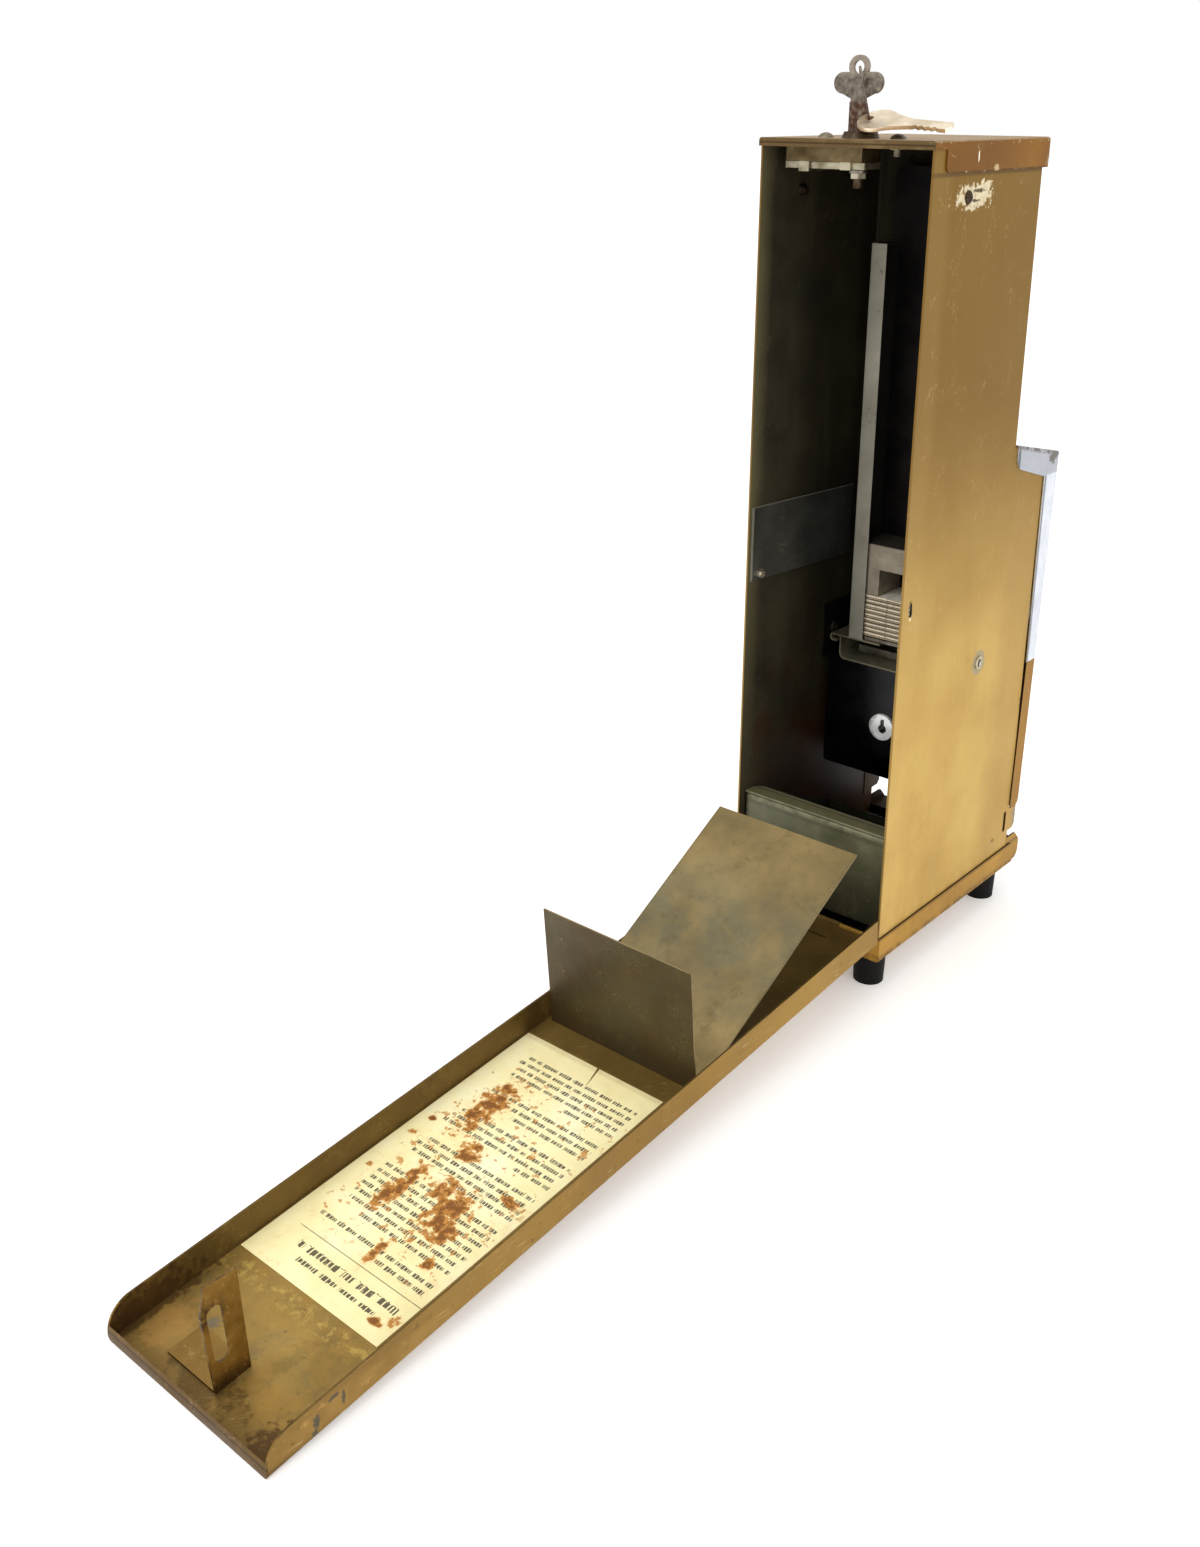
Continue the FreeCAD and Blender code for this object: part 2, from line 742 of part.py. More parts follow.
def make_top_cap():
    """The pressed lid: flanges at the sides and the front, a short lip at the rear."""
    body = new_body("top_cap")
    half = HALF_WIDTH + S.cap_sheet
    rear = at_depth(-S.cap_sheet)
    front = at_depth(S.cap_depth)
    bottom = at_height(S.cap_top - S.cap_flange)
    top = at_height(S.cap_top)
    corners = [(-half, front), (half, front), (half, rear), (-half, rear)]
    pad(body, outline_sketch(body, "XY_Plane", corners, bottom), S.cap_flange)
    round_edges(body, 2, [(half, front), (-half, front)], S.cap_corner_radius)
    tip = body.Tip
    rim = [f"Edge{number}" for number, edge in enumerate(tip.Shape.Edges, start=1)
           if abs(edge.BoundBox.ZMin - top.value) < 1e-3 and abs(edge.BoundBox.ZMax - top.value) < 1e-3
           and edge.BoundBox.YMin < rear.value - 1e-3]
    feature = body.newObject("PartDesign::Fillet", "Fillet")
    feature.Base = (tip, rim)
    bind(feature, "Radius", S.cap_edge_radius)
    doc.recompute()
    hollow(body, S.cap_sheet, faces_towards(DOWN, -bottom))
    relief = [
        (rear + 1, bottom - 1),
        (at_depth(S.cap_flange_start), bottom - 1),
        (at_depth(S.cap_flange_start), top - S.cap_rear_lip),
        (rear + 1, top - S.cap_rear_lip),
    ]
    pocket(body, outline_sketch(body, "YZ_Plane", relief), S.housing_width * 2, "Symmetric")
    round_edges(body, 0, [(at_depth(S.cap_flange_start), bottom)], S.cap_corner_radius)
    holes = new_sketch(body, "XY_Plane", top + 1)
    lock_y = at_depth(S.lock_depth)
    add_circle(holes, (S.lock_x, lock_y), S.collar_top_radius + 0.1)
    for side in (-1, 1):
        add_circle(holes, (side * S.lock_screw_spacing / 2, lock_y), S.screw_shank_radius + 0.1)
    pocket(body, holes, S.cap_sheet + 2)
    return body


def make_base_pan():
    """The shallow pan that the machine stands in, open at the front for the delivery lip."""
    body = new_body("base_pan")
    half = S.base_width / 2
    rear = at_depth(0)
    front = at_depth(S.base_flange_depth)
    corners = [(-half, front), (half, front), (half, rear), (-half, rear)]
    pad(body, outline_sketch(body, "XY_Plane", corners, at_height(0)), S.base_flange)
    bottom = at_height(0)
    round_edges(body, 1, [(half, bottom), (-half, bottom)], S.base_edge_radius)
    wall = S.base_sheet
    hollowing = [
        (rear - wall, bottom + wall),
        (rear - wall, bottom + 2 * S.base_flange),
        (front - 1, bottom + 2 * S.base_flange),
        (front - 1, bottom + wall),
    ]
    pocket(body, outline_sketch(body, "YZ_Plane", hollowing), S.base_width - 2 * wall, "Symmetric")
    round_edges(body, 0, [(front, at_height(S.base_flange))], S.lip_radius)
    holes = new_sketch(body, "XY_Plane", bottom - 1)
    for x, y in foot_places():
        add_circle(holes, (x, y), S.foot_screw_radius + 0.1)
    pocket(body, holes, S.base_sheet + 2, reverse=True)
    return body


def foot_places():
    across = S.base_width / 2 - S.foot_inset_x
    return [(side * across, at_depth(depth)) for side in (-1, 1)
            for depth in (S.rear_foot_depth, S.front_foot_depth)]


def make_rubber_foot(number, x, y):
    """A tapered rubber foot with a recess for its screw."""
    body = new_body(f"rubber_foot_{number}")
    profile = [
        (S.foot_screw_radius + 0.1, S.foot_height),
        (S.foot_radius, S.foot_height),
        (S.foot_radius - 0.8, 0),
        (S.foot_recess_radius, 0),
        (S.foot_recess_radius, S.foot_height - S.foot_recess_depth),
        (S.foot_screw_radius + 0.1, S.foot_height - S.foot_recess_depth),
    ]
    sketch = outline_sketch(body, "XZ_Plane", profile)
    feature = body.newObject("PartDesign::Revolution", "Revolution")
    feature.Profile = sketch
    feature.ReferenceAxis = (sketch, ["V_Axis"])
    feature.Angle = 360
    for letter, value in zip("xy", (x, y)):
        bind(body, f"Placement.Base.{letter}", value)
    doc.recompute()
    return body


def make_foot_screw(number, x, y):
    """A round-headed screw up through the foot, with its nut on the base's floor."""
    head_top = S.foot_height - S.foot_recess_depth
    head_bottom = head_top - S.foot_screw_head_height
    head = cylinder(f"foot_screw_{number}_head", (x, y, head_bottom), S.foot_screw_head_height,
                    S.foot_screw_head_radius)
    reach = S.foot_recess_depth + S.base_sheet + S.foot_nut_thickness + 0.8
    shank = cylinder(f"foot_screw_{number}_shank", (x, y, head_top), reach, S.foot_screw_radius)
    nut = hex_nut(f"foot_screw_{number}_nut", (x, y, at_height(FLOOR_TOP)), S.foot_nut_radius,
                  S.foot_nut_thickness)
    return fused(f"foot_screw_{number}", head, shank, nut)


def hex_nut(label, base, radius, thickness, direction=UP):
    item = doc.addObject("Part::Prism", label)
    item.Label = label
    item.Polygon = 6
    item.Placement = FreeCAD.Placement(FreeCAD.Vector(), FreeCAD.Rotation(UP, direction))
    bind(item, "Circumradius", radius)
    bind(item, "Height", thickness)
    for letter, value in zip("xyz", base):
        bind(item, f"Placement.Base.{letter}", value)
    return item


def make_feet():
    places = foot_places()
    feet = [make_rubber_foot(number, x, y) for number, (x, y) in enumerate(places, start=1)]
    screws = [make_foot_screw(number, x, y) for number, (x, y) in enumerate(places, start=1)]
    return [group("rubber_feet", *feet), group("foot_screws", *screws)]


def make_delivery_lip():
    """The rounded catching lip at the foot of the front, closed by a cheek at each end."""
    body = new_body("delivery_lip")
    rear = S.side_depth + S.panel_gap
    outer = [
        (at_depth(rear), at_height(FLOOR_TOP)),
        (at_depth(S.base_depth), at_height(FLOOR_TOP)),
        (at_depth(S.base_depth), at_height(S.lip_height)),
        (at_depth(S.base_depth - 6), at_height(S.lip_cheek_height)),
        (at_depth(rear), at_height(S.lip_cheek_height)),
    ]
    pad(body, outline_sketch(body, "YZ_Plane", outer), S.housing_width, "Symmetric")
    round_edges(body, 0, [(at_depth(S.base_depth), at_height(FLOOR_TOP))], S.lip_radius)
    round_edges(body, 0, [(at_depth(S.base_depth), at_height(S.lip_height)),
                          (at_depth(S.base_depth - 6), at_height(S.lip_cheek_height))], S.lip_radius / 2)
    step = [
        (at_depth(rear - 1), at_height(S.lip_height)),
        (at_depth(S.base_depth + 1), at_height(S.lip_height)),
        (at_depth(S.base_depth + 1), at_height(S.lip_cheek_height + 1)),
        (at_depth(rear - 1), at_height(S.lip_cheek_height + 1)),
    ]
    pocket(body, outline_sketch(body, "YZ_Plane", step), 2 * INNER_HALF, "Symmetric")
    wall = S.housing_sheet
    inside = [
        (at_depth(rear - 1), at_height(FLOOR_TOP + wall)),
        (at_depth(S.base_depth - S.lip_radius), at_height(FLOOR_TOP + wall)),
        (at_depth(S.base_depth - wall - 0.6), at_height(S.lip_radius)),
        (at_depth(S.base_depth - wall - 0.6), at_height(S.lip_height - wall)),
        (at_depth(rear - 1), at_height(S.lip_height - wall)),
    ]
    pocket(body, outline_sketch(body, "YZ_Plane", inside), 2 * INNER_HALF, "Symmetric")
    return body


def make_chrome_hood():
    """The plated hood over the step and the upper part of the leaning front."""
    body = new_body("chrome_hood")
    width = S.housing_width + 2 * S.hood_sheet
    flange_end = S.hood_top - S.hood_flange_height
    strip_top = flange_end - (S.side_depth - S.upper_depth) * tangent(S.hood_flange_slope)
    outer = [
        (at_depth(S.upper_depth), at_height(S.hood_top)),
        (at_depth(S.hood_front_depth), at_height(hood_top_at(S.hood_front_depth))),
        (at_depth(front_depth_at(S.hood_bottom)), at_height(S.hood_bottom)),
        (at_depth(S.hood_strip_depth), at_height(S.hood_bottom)),
        (at_depth(S.side_depth + S.panel_gap), at_height(strip_top)),
        (at_depth(S.upper_depth), at_height(flange_end)),
    ]
    pad(body, outline_sketch(body, "YZ_Plane", outer), width, "Symmetric")
    front_edge = (at_depth(S.hood_front_depth), at_height(hood_top_at(S.hood_front_depth)))
    round_edges(body, 0, [front_edge], S.cap_edge_radius)
    round_edges(body, 0, [(at_depth(S.upper_depth), at_height(flange_end))], S.hood_corner_radius)
    drop = S.hood_sheet / cosine(S.hood_slope)
    inner_front = S.hood_front_depth - S.hood_sheet
    rear = S.upper_depth - 10
    below = S.hood_bottom - 10
    inner = [
        (at_depth(rear), at_height(hood_top_at(rear) - drop)),
        (at_depth(inner_front), at_height(hood_top_at(inner_front) - drop)),
        (at_depth(front_depth_at(below) - S.hood_sheet), at_height(below)),
        (at_depth(rear), at_height(below)),
    ]
    pocket(body, outline_sketch(body, "YZ_Plane", inner), S.housing_width, "Symmetric")
    low, high = slide_heights()
    gap = S.slide_clearance
    half = S.slide_width / 2 + gap
    mouth = [(-half, low - gap), (half, low - gap), (half, high + gap), (-half, high + gap)]
    pocket(body, outline_sketch(body, "XZ_Plane", mouth), S.base_depth, reverse=True)
    return body


def slide_heights():
    """Bottom and top of the coin slide, which runs just over the tunnel's floor."""
    low = at_height(S.tunnel_bottom + S.shelf_sheet + S.slide_clearance)
    return low, low + S.slide_thickness


def make_lower_front_cover():
    """The painted cover under the hood, with side flanges that end round above the delivery mouth."""
    body = new_body("lower_front_cover")
    width = S.housing_width + 2 * S.hood_sheet
    top = S.hood_bottom - S.panel_gap
    outer = [
        (at_depth(front_depth_at(top)), at_height(top)),
        (at_depth(front_depth_at(S.cover_bottom)), at_height(S.cover_bottom)),
        (at_depth(front_depth_at(S.cover_bottom) - S.cover_strip), at_height(S.cover_bottom)),
        (at_depth(front_depth_at(top) - S.cover_strip), at_height(top)),
    ]
    pad(body, outline_sketch(body, "YZ_Plane", outer), width, "Symmetric")
    ends = [(at_depth(front_depth_at(S.cover_bottom)), at_height(S.cover_bottom)),
            (at_depth(front_depth_at(S.cover_bottom) - S.cover_strip), at_height(S.cover_bottom))]
    round_edges(body, 0, ends, S.cover_end_radius)
    above = S.hood_bottom + 10
    below = S.cover_bottom - 10
    inner = [
        (at_depth(front_depth_at(above) - S.hood_sheet), at_height(above)),
        (at_depth(front_depth_at(below) - S.hood_sheet), at_height(below)),
        (at_depth(front_depth_at(below) - 2 * S.cover_strip), at_height(below)),
        (at_depth(front_depth_at(above) - 2 * S.cover_strip), at_height(above)),
    ]
    pocket(body, outline_sketch(body, "YZ_Plane", inner), S.housing_width, "Symmetric")
    return body


# ---------------------------------------------------------------- coin slide and mechanism


def make_escutcheon():
    """The cast guide that the coin slide runs in, on the front of the hood."""
    body = new_body("coin_slide_escutcheon")
    low, high = slide_heights()
    middle = (low + high) / 2 - S.foot_height
    bottom = middle - S.escutcheon_height / 2 + 3
    top = middle + S.escutcheon_height / 2 + 3
    face = front_depth_at(middle) + S.escutcheon_thickness
    outer = [
        (at_depth(front_depth_at(bottom)), at_height(bottom)),
        (at_depth(front_depth_at(top)), at_height(top)),
        (at_depth(face), at_height(top)),
        (at_depth(face), at_height(bottom)),
    ]
    pad(body, outline_sketch(body, "YZ_Plane", outer), S.escutcheon_width, "Symmetric")
    half = S.escutcheon_width / 2
    round_edges(body, 1, [(side * half, at_height(height)) for side in (-1, 1)
                          for height in (bottom, top)], 4)
    gap = S.slide_clearance
    across = S.slide_width / 2 + gap
    mouth = [(-across, low - gap), (across, low - gap), (across, high + gap), (-across, high + gap)]
    pocket(body, outline_sketch(body, "XZ_Plane", mouth), S.base_depth, reverse=True)
    return body


def make_coin_slide():
    """The push slide: a plated tongue with a bed for a large and a small coin."""
    body = new_body("coin_slide")
    low, high = slide_heights()
    half = S.slide_width / 2
    rear = at_depth(S.slide_rear_depth)
    face = front_depth_at(low - S.foot_height) + S.escutcheon_thickness
    front = at_depth(face + S.slide_reach)
    corners = [(-half, front), (half, front), (half, rear), (-half, rear)]
    pad(body, outline_sketch(body, "XY_Plane", corners, low), S.slide_thickness)
    round_edges(body, 2, [(half, front), (-half, front)], 5)
    beds = new_sketch(body, "XY_Plane", high)
    bed_y = at_depth(face + S.slide_reach / 2 + 1)
    spare = (S.slide_width - 2 * (S.large_coin_radius + S.small_coin_radius)) / 3
    add_circle(beds, (half - spare - S.large_coin_radius, bed_y), S.large_coin_radius)
    add_circle(beds, (-half + spare + S.small_coin_radius, bed_y), S.small_coin_radius)
    pocket(body, beds, S.coin_recess)
    window_rear = at_depth(S.mechanism_front_depth + 2)
    window_front = window_rear - S.slide_window_length
    across = S.slide_window_width / 2
    window = [
        (-across, window_front), (across, window_front), (across, window_rear), (-across, window_rear),
    ]
    pocket(body, outline_sketch(body, "XY_Plane", window, high + 1), S.slide_thickness + 2)
    return body


def make_slide_handle():
    """The finger bar across the front end of the coin slide."""
    low, high = slide_heights()
    face = front_depth_at(low - S.foot_height) + S.escutcheon_thickness
    front = at_depth(face + S.slide_reach)
    half = S.slide_width / 2 - 6
    body = new_body("slide_handle")
    profile = [
        (front, low - 3),
        (front, high + 3),
        (front - 4, high + 1.5),
        (front - 4, low - 1.5),
    ]
    pad(body, outline_sketch(body, "YZ_Plane", profile), 2 * half, "Symmetric")
    round_edges(body, 0, [(front - 4, high + 1.5), (front - 4, low - 1.5)], 1.5)
    return body


def blade_range():
    """Rear and front depth of the ejector blade at rest, under the stack of folders."""
    front = S.magazine_depth + 1.6
    return front - S.blade_length, front


def make_ejector_blade():
    """The blade that pushes the lowest folder out, on a riser from the coin slide."""
    low, high = slide_heights()
    rear, front = blade_range()
    blade_low = at_height(S.shelf_top + 0.25)
    half = S.blade_width / 2
    blade = box("ejector_blade_plate", (-half, half), (at_depth(front), at_depth(rear)),
                (blade_low, blade_low + S.blade_thickness))
    riser = box("ejector_blade_riser", (-5, 5), (at_depth(front - 1), at_depth(front - 9)),
                (high, blade_low + 0.2))
    return fused("ejector_blade", blade, riser)


def make_shelf_plate():
    """The shelf under the magazine, with its side edges rolled under and a slot for the blade's riser."""
    body = new_body("shelf_plate")
    half = S.shelf_width / 2
    top = at_height(S.shelf_top)
    under = top - S.shelf_sheet
    roll = 2.4
    rear = at_depth(S.mechanism_rear_depth)
    length = S.mechanism_front_depth - S.mechanism_rear_depth
    profile = [
        (-half, top),
        (half, top),
        (half, top - 2 * roll),
        (half - 2 * roll, top - 2 * roll),
        (half - 2 * roll, top - 2 * roll + S.shelf_sheet),
        (half - S.shelf_sheet, top - 2 * roll + S.shelf_sheet),
        (half - S.shelf_sheet, under),
        (-half + S.shelf_sheet, under),
        (-half + S.shelf_sheet, top - 2 * roll + S.shelf_sheet),
        (-half + 2 * roll, top - 2 * roll + S.shelf_sheet),
        (-half + 2 * roll, top - 2 * roll),
        (-half, top - 2 * roll),
    ]
    pad(body, outline_sketch(body, "XZ_Plane", profile, -rear), length)
    places = [(side * half, height) for side in (-1, 1) for height in (top, top - 2 * roll)]
    round_edges(body, 1, places, roll * 0.95)
    blade_rear, blade_front = blade_range()
    slot = [
        (-6, at_depth(blade_front + 1)),
        (6, at_depth(blade_front + 1)),
        (6, rear + 1),
        (-6, rear + 1),
    ]
    pocket(body, outline_sketch(body, "XY_Plane", slot, top + 1), S.shelf_sheet + 2)
    return body


def make_slide_tunnel():
    """The round-cornered trough that the coin slide runs back into."""
    body = new_body("slide_tunnel")
    half = S.tunnel_width / 2
    bottom = at_height(S.tunnel_bottom)
    top = at_height(S.shelf_top) - S.shelf_sheet
    rear = at_depth(S.mechanism_rear_depth)
    corners = [(-half, bottom), (half, bottom), (half, top), (-half, top)]
    length = S.mechanism_front_depth + S.shelf_sheet - S.mechanism_rear_depth
    pad(body, outline_sketch(body, "XZ_Plane", corners, -rear), length)
    round_edges(body, 1, [(half, bottom), (-half, bottom)], S.tunnel_corner_radius)
    front = rear - length
    hollow(body, S.shelf_sheet, lambda face: faces_towards(UP, top)(face)
           or faces_towards(REARWARD, rear)(face) or faces_towards(FORWARD, -front)(face))
    return body


def make_mechanism_case():
    """The black enamelled case of the coin mechanism, open at the front against its bracket."""
    body = new_body("mechanism_case")
    half = S.case_width / 2
    bottom = at_height(S.case_bottom)
    top = at_height(S.tunnel_bottom)
    rear = at_depth(S.mechanism_rear_depth)
    front = at_depth(S.mechanism_front_depth)
    corners = [(-half, bottom), (half, bottom), (half, top), (-half, top)]
    pad(body, outline_sketch(body, "XZ_Plane", corners, -rear),
        S.mechanism_front_depth - S.mechanism_rear_depth)
    round_edges(body, 1, [(side * half, height) for side in (-1, 1) for height in (bottom, top)],
                S.case_edge_radius)
    hollow(body, S.housing_sheet, faces_towards(FORWARD, -front))
    lock = new_sketch(body, "XZ_Plane", -rear - 1)
    add_circle(lock, (0, at_height(S.case_lock_height)), S.case_lock_radius - 1)
    pocket(body, lock, 4, reverse=True)
    return body


def make_case_lock():
    """The plated lock barrel in the case's rear wall, and the plug that turns in it."""
    centre_z = at_height(S.case_lock_height)
    rear = at_depth(S.mechanism_rear_depth)
    depth = 18
    ring = cylinder("case_lock_ring", (0, rear + 1.6, centre_z), 1.6, S.case_lock_radius, FORWARD)
    tube = cylinder("case_lock_tube", (0, rear, centre_z), depth, S.case_lock_radius - 1.05, FORWARD)
    plug_radius = S.case_lock_radius - 2
    bore = cylinder("case_lock_bore", (0, rear + 3, centre_z), depth + 4,
                    plug_radius + S.plug_clearance, FORWARD)
    barrel = cut("case_lock_barrel", fused("case_lock_outside", ring, tube), bore)
    plug = cylinder("case_lock_core", (0, rear + 1.2, centre_z), depth + 1, plug_radius, FORWARD)
    pin_hole = cylinder("case_keyhole_round", (0, rear + 2, centre_z - 1), 9, 2.1, FORWARD)
    wing = box("case_keyhole_wing", (-0.9, 0.9), (rear - 7, rear + 2), (centre_z, centre_z + 4.4))
    keyhole = fused("case_keyhole", pin_hole, wing)
    return [barrel, cut("case_lock_plug", plug, keyhole)]


def make_mechanism_bracket():
    """The upright plate that carries the mechanism, with an ear riveted to each side panel."""
    body = new_body("mechanism_bracket")
    sheet_gauge = S.shelf_sheet
    low = at_height(S.bracket_bottom)
    high = at_height(S.front_plate_bottom)
    face = at_depth(S.mechanism_front_depth)
    corners = [(-INNER_HALF, low), (INNER_HALF, low), (INNER_HALF, high), (-INNER_HALF, high)]
    pad(body, outline_sketch(body, "XZ_Plane", corners, -face), sheet_gauge)
    ear_low = at_height(S.rivet_height) - S.bracket_ear_height / 2
    for side in (-1, 1):
        ear = [
            (at_depth(S.mechanism_front_depth), ear_low),
            (at_depth(S.mechanism_front_depth - S.bracket_ear_length), ear_low),
            (at_depth(S.mechanism_front_depth - S.bracket_ear_length), ear_low + S.bracket_ear_height),
            (at_depth(S.mechanism_front_depth), ear_low + S.bracket_ear_height),
        ]
        offset = side * INNER_HALF
        pad(body, outline_sketch(body, "YZ_Plane", ear, offset), sheet_gauge, reverse=side > 0)
    window = new_sketch(body, "XZ_Plane", -face - 1)
    gate_half = S.folder_width / 2 + 2
    gate = [
        (-gate_half, at_height(S.shelf_top)),
        (gate_half, at_height(S.shelf_top)),
        (gate_half, at_height(S.magazine_gate + 6)),
        (-gate_half, at_height(S.magazine_gate + 6)),
    ]
    add_outline(window, gate)
    pocket(body, window, 4, reverse=True)
    tunnel = new_sketch(body, "XZ_Plane", -face - 1)
    trough = S.tunnel_width / 2
    opening = [
        (-trough, at_height(S.tunnel_bottom)),
        (trough, at_height(S.tunnel_bottom)),
        (trough, at_height(S.shelf_top) - S.shelf_sheet),
        (-trough, at_height(S.shelf_top) - S.shelf_sheet),
    ]
    add_outline(tunnel, opening)
    pocket(body, tunnel, 4, reverse=True)
    rivets = new_sketch(body, "YZ_Plane")
    add_circle(rivets, (at_depth(S.rivet_depth), at_height(S.rivet_height)), S.screw_shank_radius)
    pocket(body, rivets, S.housing_width * 2, "Symmetric")
    return body


def make_side_rivets():
    """Hollow rivets through each side panel into the bracket's ears."""
    rivets = []
    place = (at_depth(S.rivet_depth), at_height(S.rivet_height))
    for side, direction in ((-1, FreeCAD.Vector(-1, 0, 0)), (1, FreeCAD.Vector(1, 0, 0))):
        name = f"side_rivet_{'left' if side > 0 else 'right'}"
        inside = side * (INNER_HALF - S.shelf_sheet)
        washer = cylinder(f"{name}_head", (side * HALF_WIDTH, *place), S.rivet_head_thickness,
                          S.rivet_head_radius, direction)
        tail = cylinder(f"{name}_tail", (inside - side * S.rivet_tail_thickness, *place),
                        S.rivet_tail_thickness, S.rivet_tail_radius, direction)
        stem = cylinder(f"{name}_stem", (inside, *place), S.housing_sheet + S.shelf_sheet,
                        S.screw_shank_radius - 0.02, direction)
        bore = cylinder(f"{name}_bore", (inside - side * 2 * S.rivet_tail_thickness, *place),
                        S.housing_sheet + S.shelf_sheet + 5 * S.rivet_tail_thickness,
                        S.rivet_bore_radius, direction)
        rivets.append(cut(name, fused(f"{name}_solid", washer, tail, stem), bore))
    return group("side_rivets", *rivets)


# ---------------------------------------------------------------- magazine


def make_magazine_rail(side):
    """One angle rail of the magazine: a leg beside the folders and a flange behind them."""
    name = "magazine_rail_left" if side > 0 else "magazine_rail_right"
    body = new_body(name)
    outer = side * S.rail_outer
    inner = side * (S.rail_outer - S.rail_flange)
    leg = side * (S.rail_outer - S.rail_sheet)
    rear = at_depth(S.mechanism_rear_depth)
    profile = [
        (inner, rear),
        (outer, rear),
        (outer, at_depth(S.magazine_depth)),
        (leg, at_depth(S.magazine_depth)),
        (leg, rear - S.rail_sheet),
        (inner, rear - S.rail_sheet),
    ]
    bottom = at_height(S.shelf_top)
    pad(body, outline_sketch(body, "XY_Plane", profile, bottom), S.rail_top - S.shelf_top)
    round_edges(body, 2, [(outer, rear)], S.rail_sheet)
    return body


def make_magazine_back():
    """The dark plate in front of the folders, hung from the upper front on stand-offs."""
    body = new_body("magazine_back")
    half = S.magazine_plate_width / 2
    face = at_depth(S.magazine_depth)
    low = at_height(S.magazine_gate)
    high = at_height(S.magazine_top)
    corners = [(-half, low), (half, low), (half, high), (-half, high)]
    pad(body, outline_sketch(body, "XZ_Plane", corners, -face), S.rail_sheet)
    round_edges(body, 1, [(half, high), (-half, high)], 6)
    return body


def make_magazine_standoffs():
    """Four posts between the magazine's back plate and the upper front of the housing."""
    start = S.magazine_depth + S.rail_sheet
    length = S.upper_depth - S.housing_sheet - start
    posts = []
    for level, height in (("upper", S.magazine_top - S.standoff_drop),
                          ("lower", S.front_plate_bottom + S.standoff_rise)):
        for side, hand in ((-1, "right"), (1, "left")):
            x = side * (S.magazine_plate_width / 2 - S.standoff_inset)
            posts.append(cylinder(f"standoff_{level}_{hand}", (x, at_depth(start), at_height(height)),
                                  length, S.standoff_radius, FORWARD))
    return group("magazine_standoffs", *posts)


def stack_bottom():
    return at_height(S.shelf_top + 0.25 + S.blade_thickness + 0.3)


def make_stamp_folders():
    """The stack of folded stamp cards, each with a round spine at the front."""
    body = new_body("stamp_folder")
    half = S.folder_width / 2
    rear = at_depth(S.mechanism_rear_depth + S.rail_sheet + 1)
    front = rear - S.folder_depth
    low = stack_bottom()
    thick = S.folder_pitch - S.folder_gap
    profile = [(rear, low), (rear, low + thick), (front, low + thick), (front, low)]
    pad(body, outline_sketch(body, "YZ_Plane", profile), 2 * half, "Symmetric")
    round_edges(body, 0, [(front, low), (front, low + thick)], 0.45 * thick)
    folders = [body]
    for number in range(1, int(S.folder_count.value)):
        copy = doc.addObject("App::Link", f"stamp_folder_{number + 1}")
        copy.LinkedObject = body
        copy.LinkTransform = True
        bind(copy, "Placement.Base.z", number * S.folder_pitch)
        folders.append(copy)
    return group("stamp_folders", *folders)


def make_stamp_weight():
    """The cast follower weight on the stack, notched from below for a finger."""
    body = new_body("stamp_weight")
    half = S.folder_width / 2
    rear = at_depth(S.mechanism_rear_depth + S.rail_sheet + 1)
    low = stack_bottom() + S.folder_count * S.folder_pitch + 0.25
    high = low + S.weight_height
    notch = S.weight_notch_width / 2
    notch_top = low + S.weight_notch_height
    profile = [
        (-half, low), (-notch, low), (-notch, notch_top), (notch, notch_top),
        (notch, low), (half, low), (half, high), (-half, high),
    ]
    pad(body, outline_sketch(body, "XZ_Plane", profile, -rear), S.folder_depth)
    round_edges(body, 1, [(half, high), (-half, high)], 1)
    return body


# ---------------------------------------------------------------- chute and cash box


def make_delivery_chute():
    """The bent back of the chute: a ramp down from the mechanism, a drop and a curve to the lip."""
    start = S.mechanism_front_depth + S.shelf_sheet
    top = S.tunnel_bottom - 4
    curve_start = S.chute_curve_height
    path = [
        (at_depth(start), at_height(top)),
        (at_depth(start), at_height(top - 8)),
        (at_depth(S.chute_depth), at_height(S.chute_bend_height)),
        (at_depth(S.chute_depth), at_height(curve_start)),
        (at_depth(S.chute_depth + S.chute_toe_reach / 3), at_height(curve_start - 0.55 * S.chute_toe_drop)),
        (at_depth(S.chute_depth + S.chute_toe_reach), at_height(curve_start - S.chute_toe_drop)),
        (at_depth(S.side_depth + 4), at_height(S.lip_height)),
        (at_depth(S.side_depth + 10), at_height(S.lip_height)),
    ]
    return bent_sheet("delivery_chute", path, S.chute_sheet, S.chute_width)


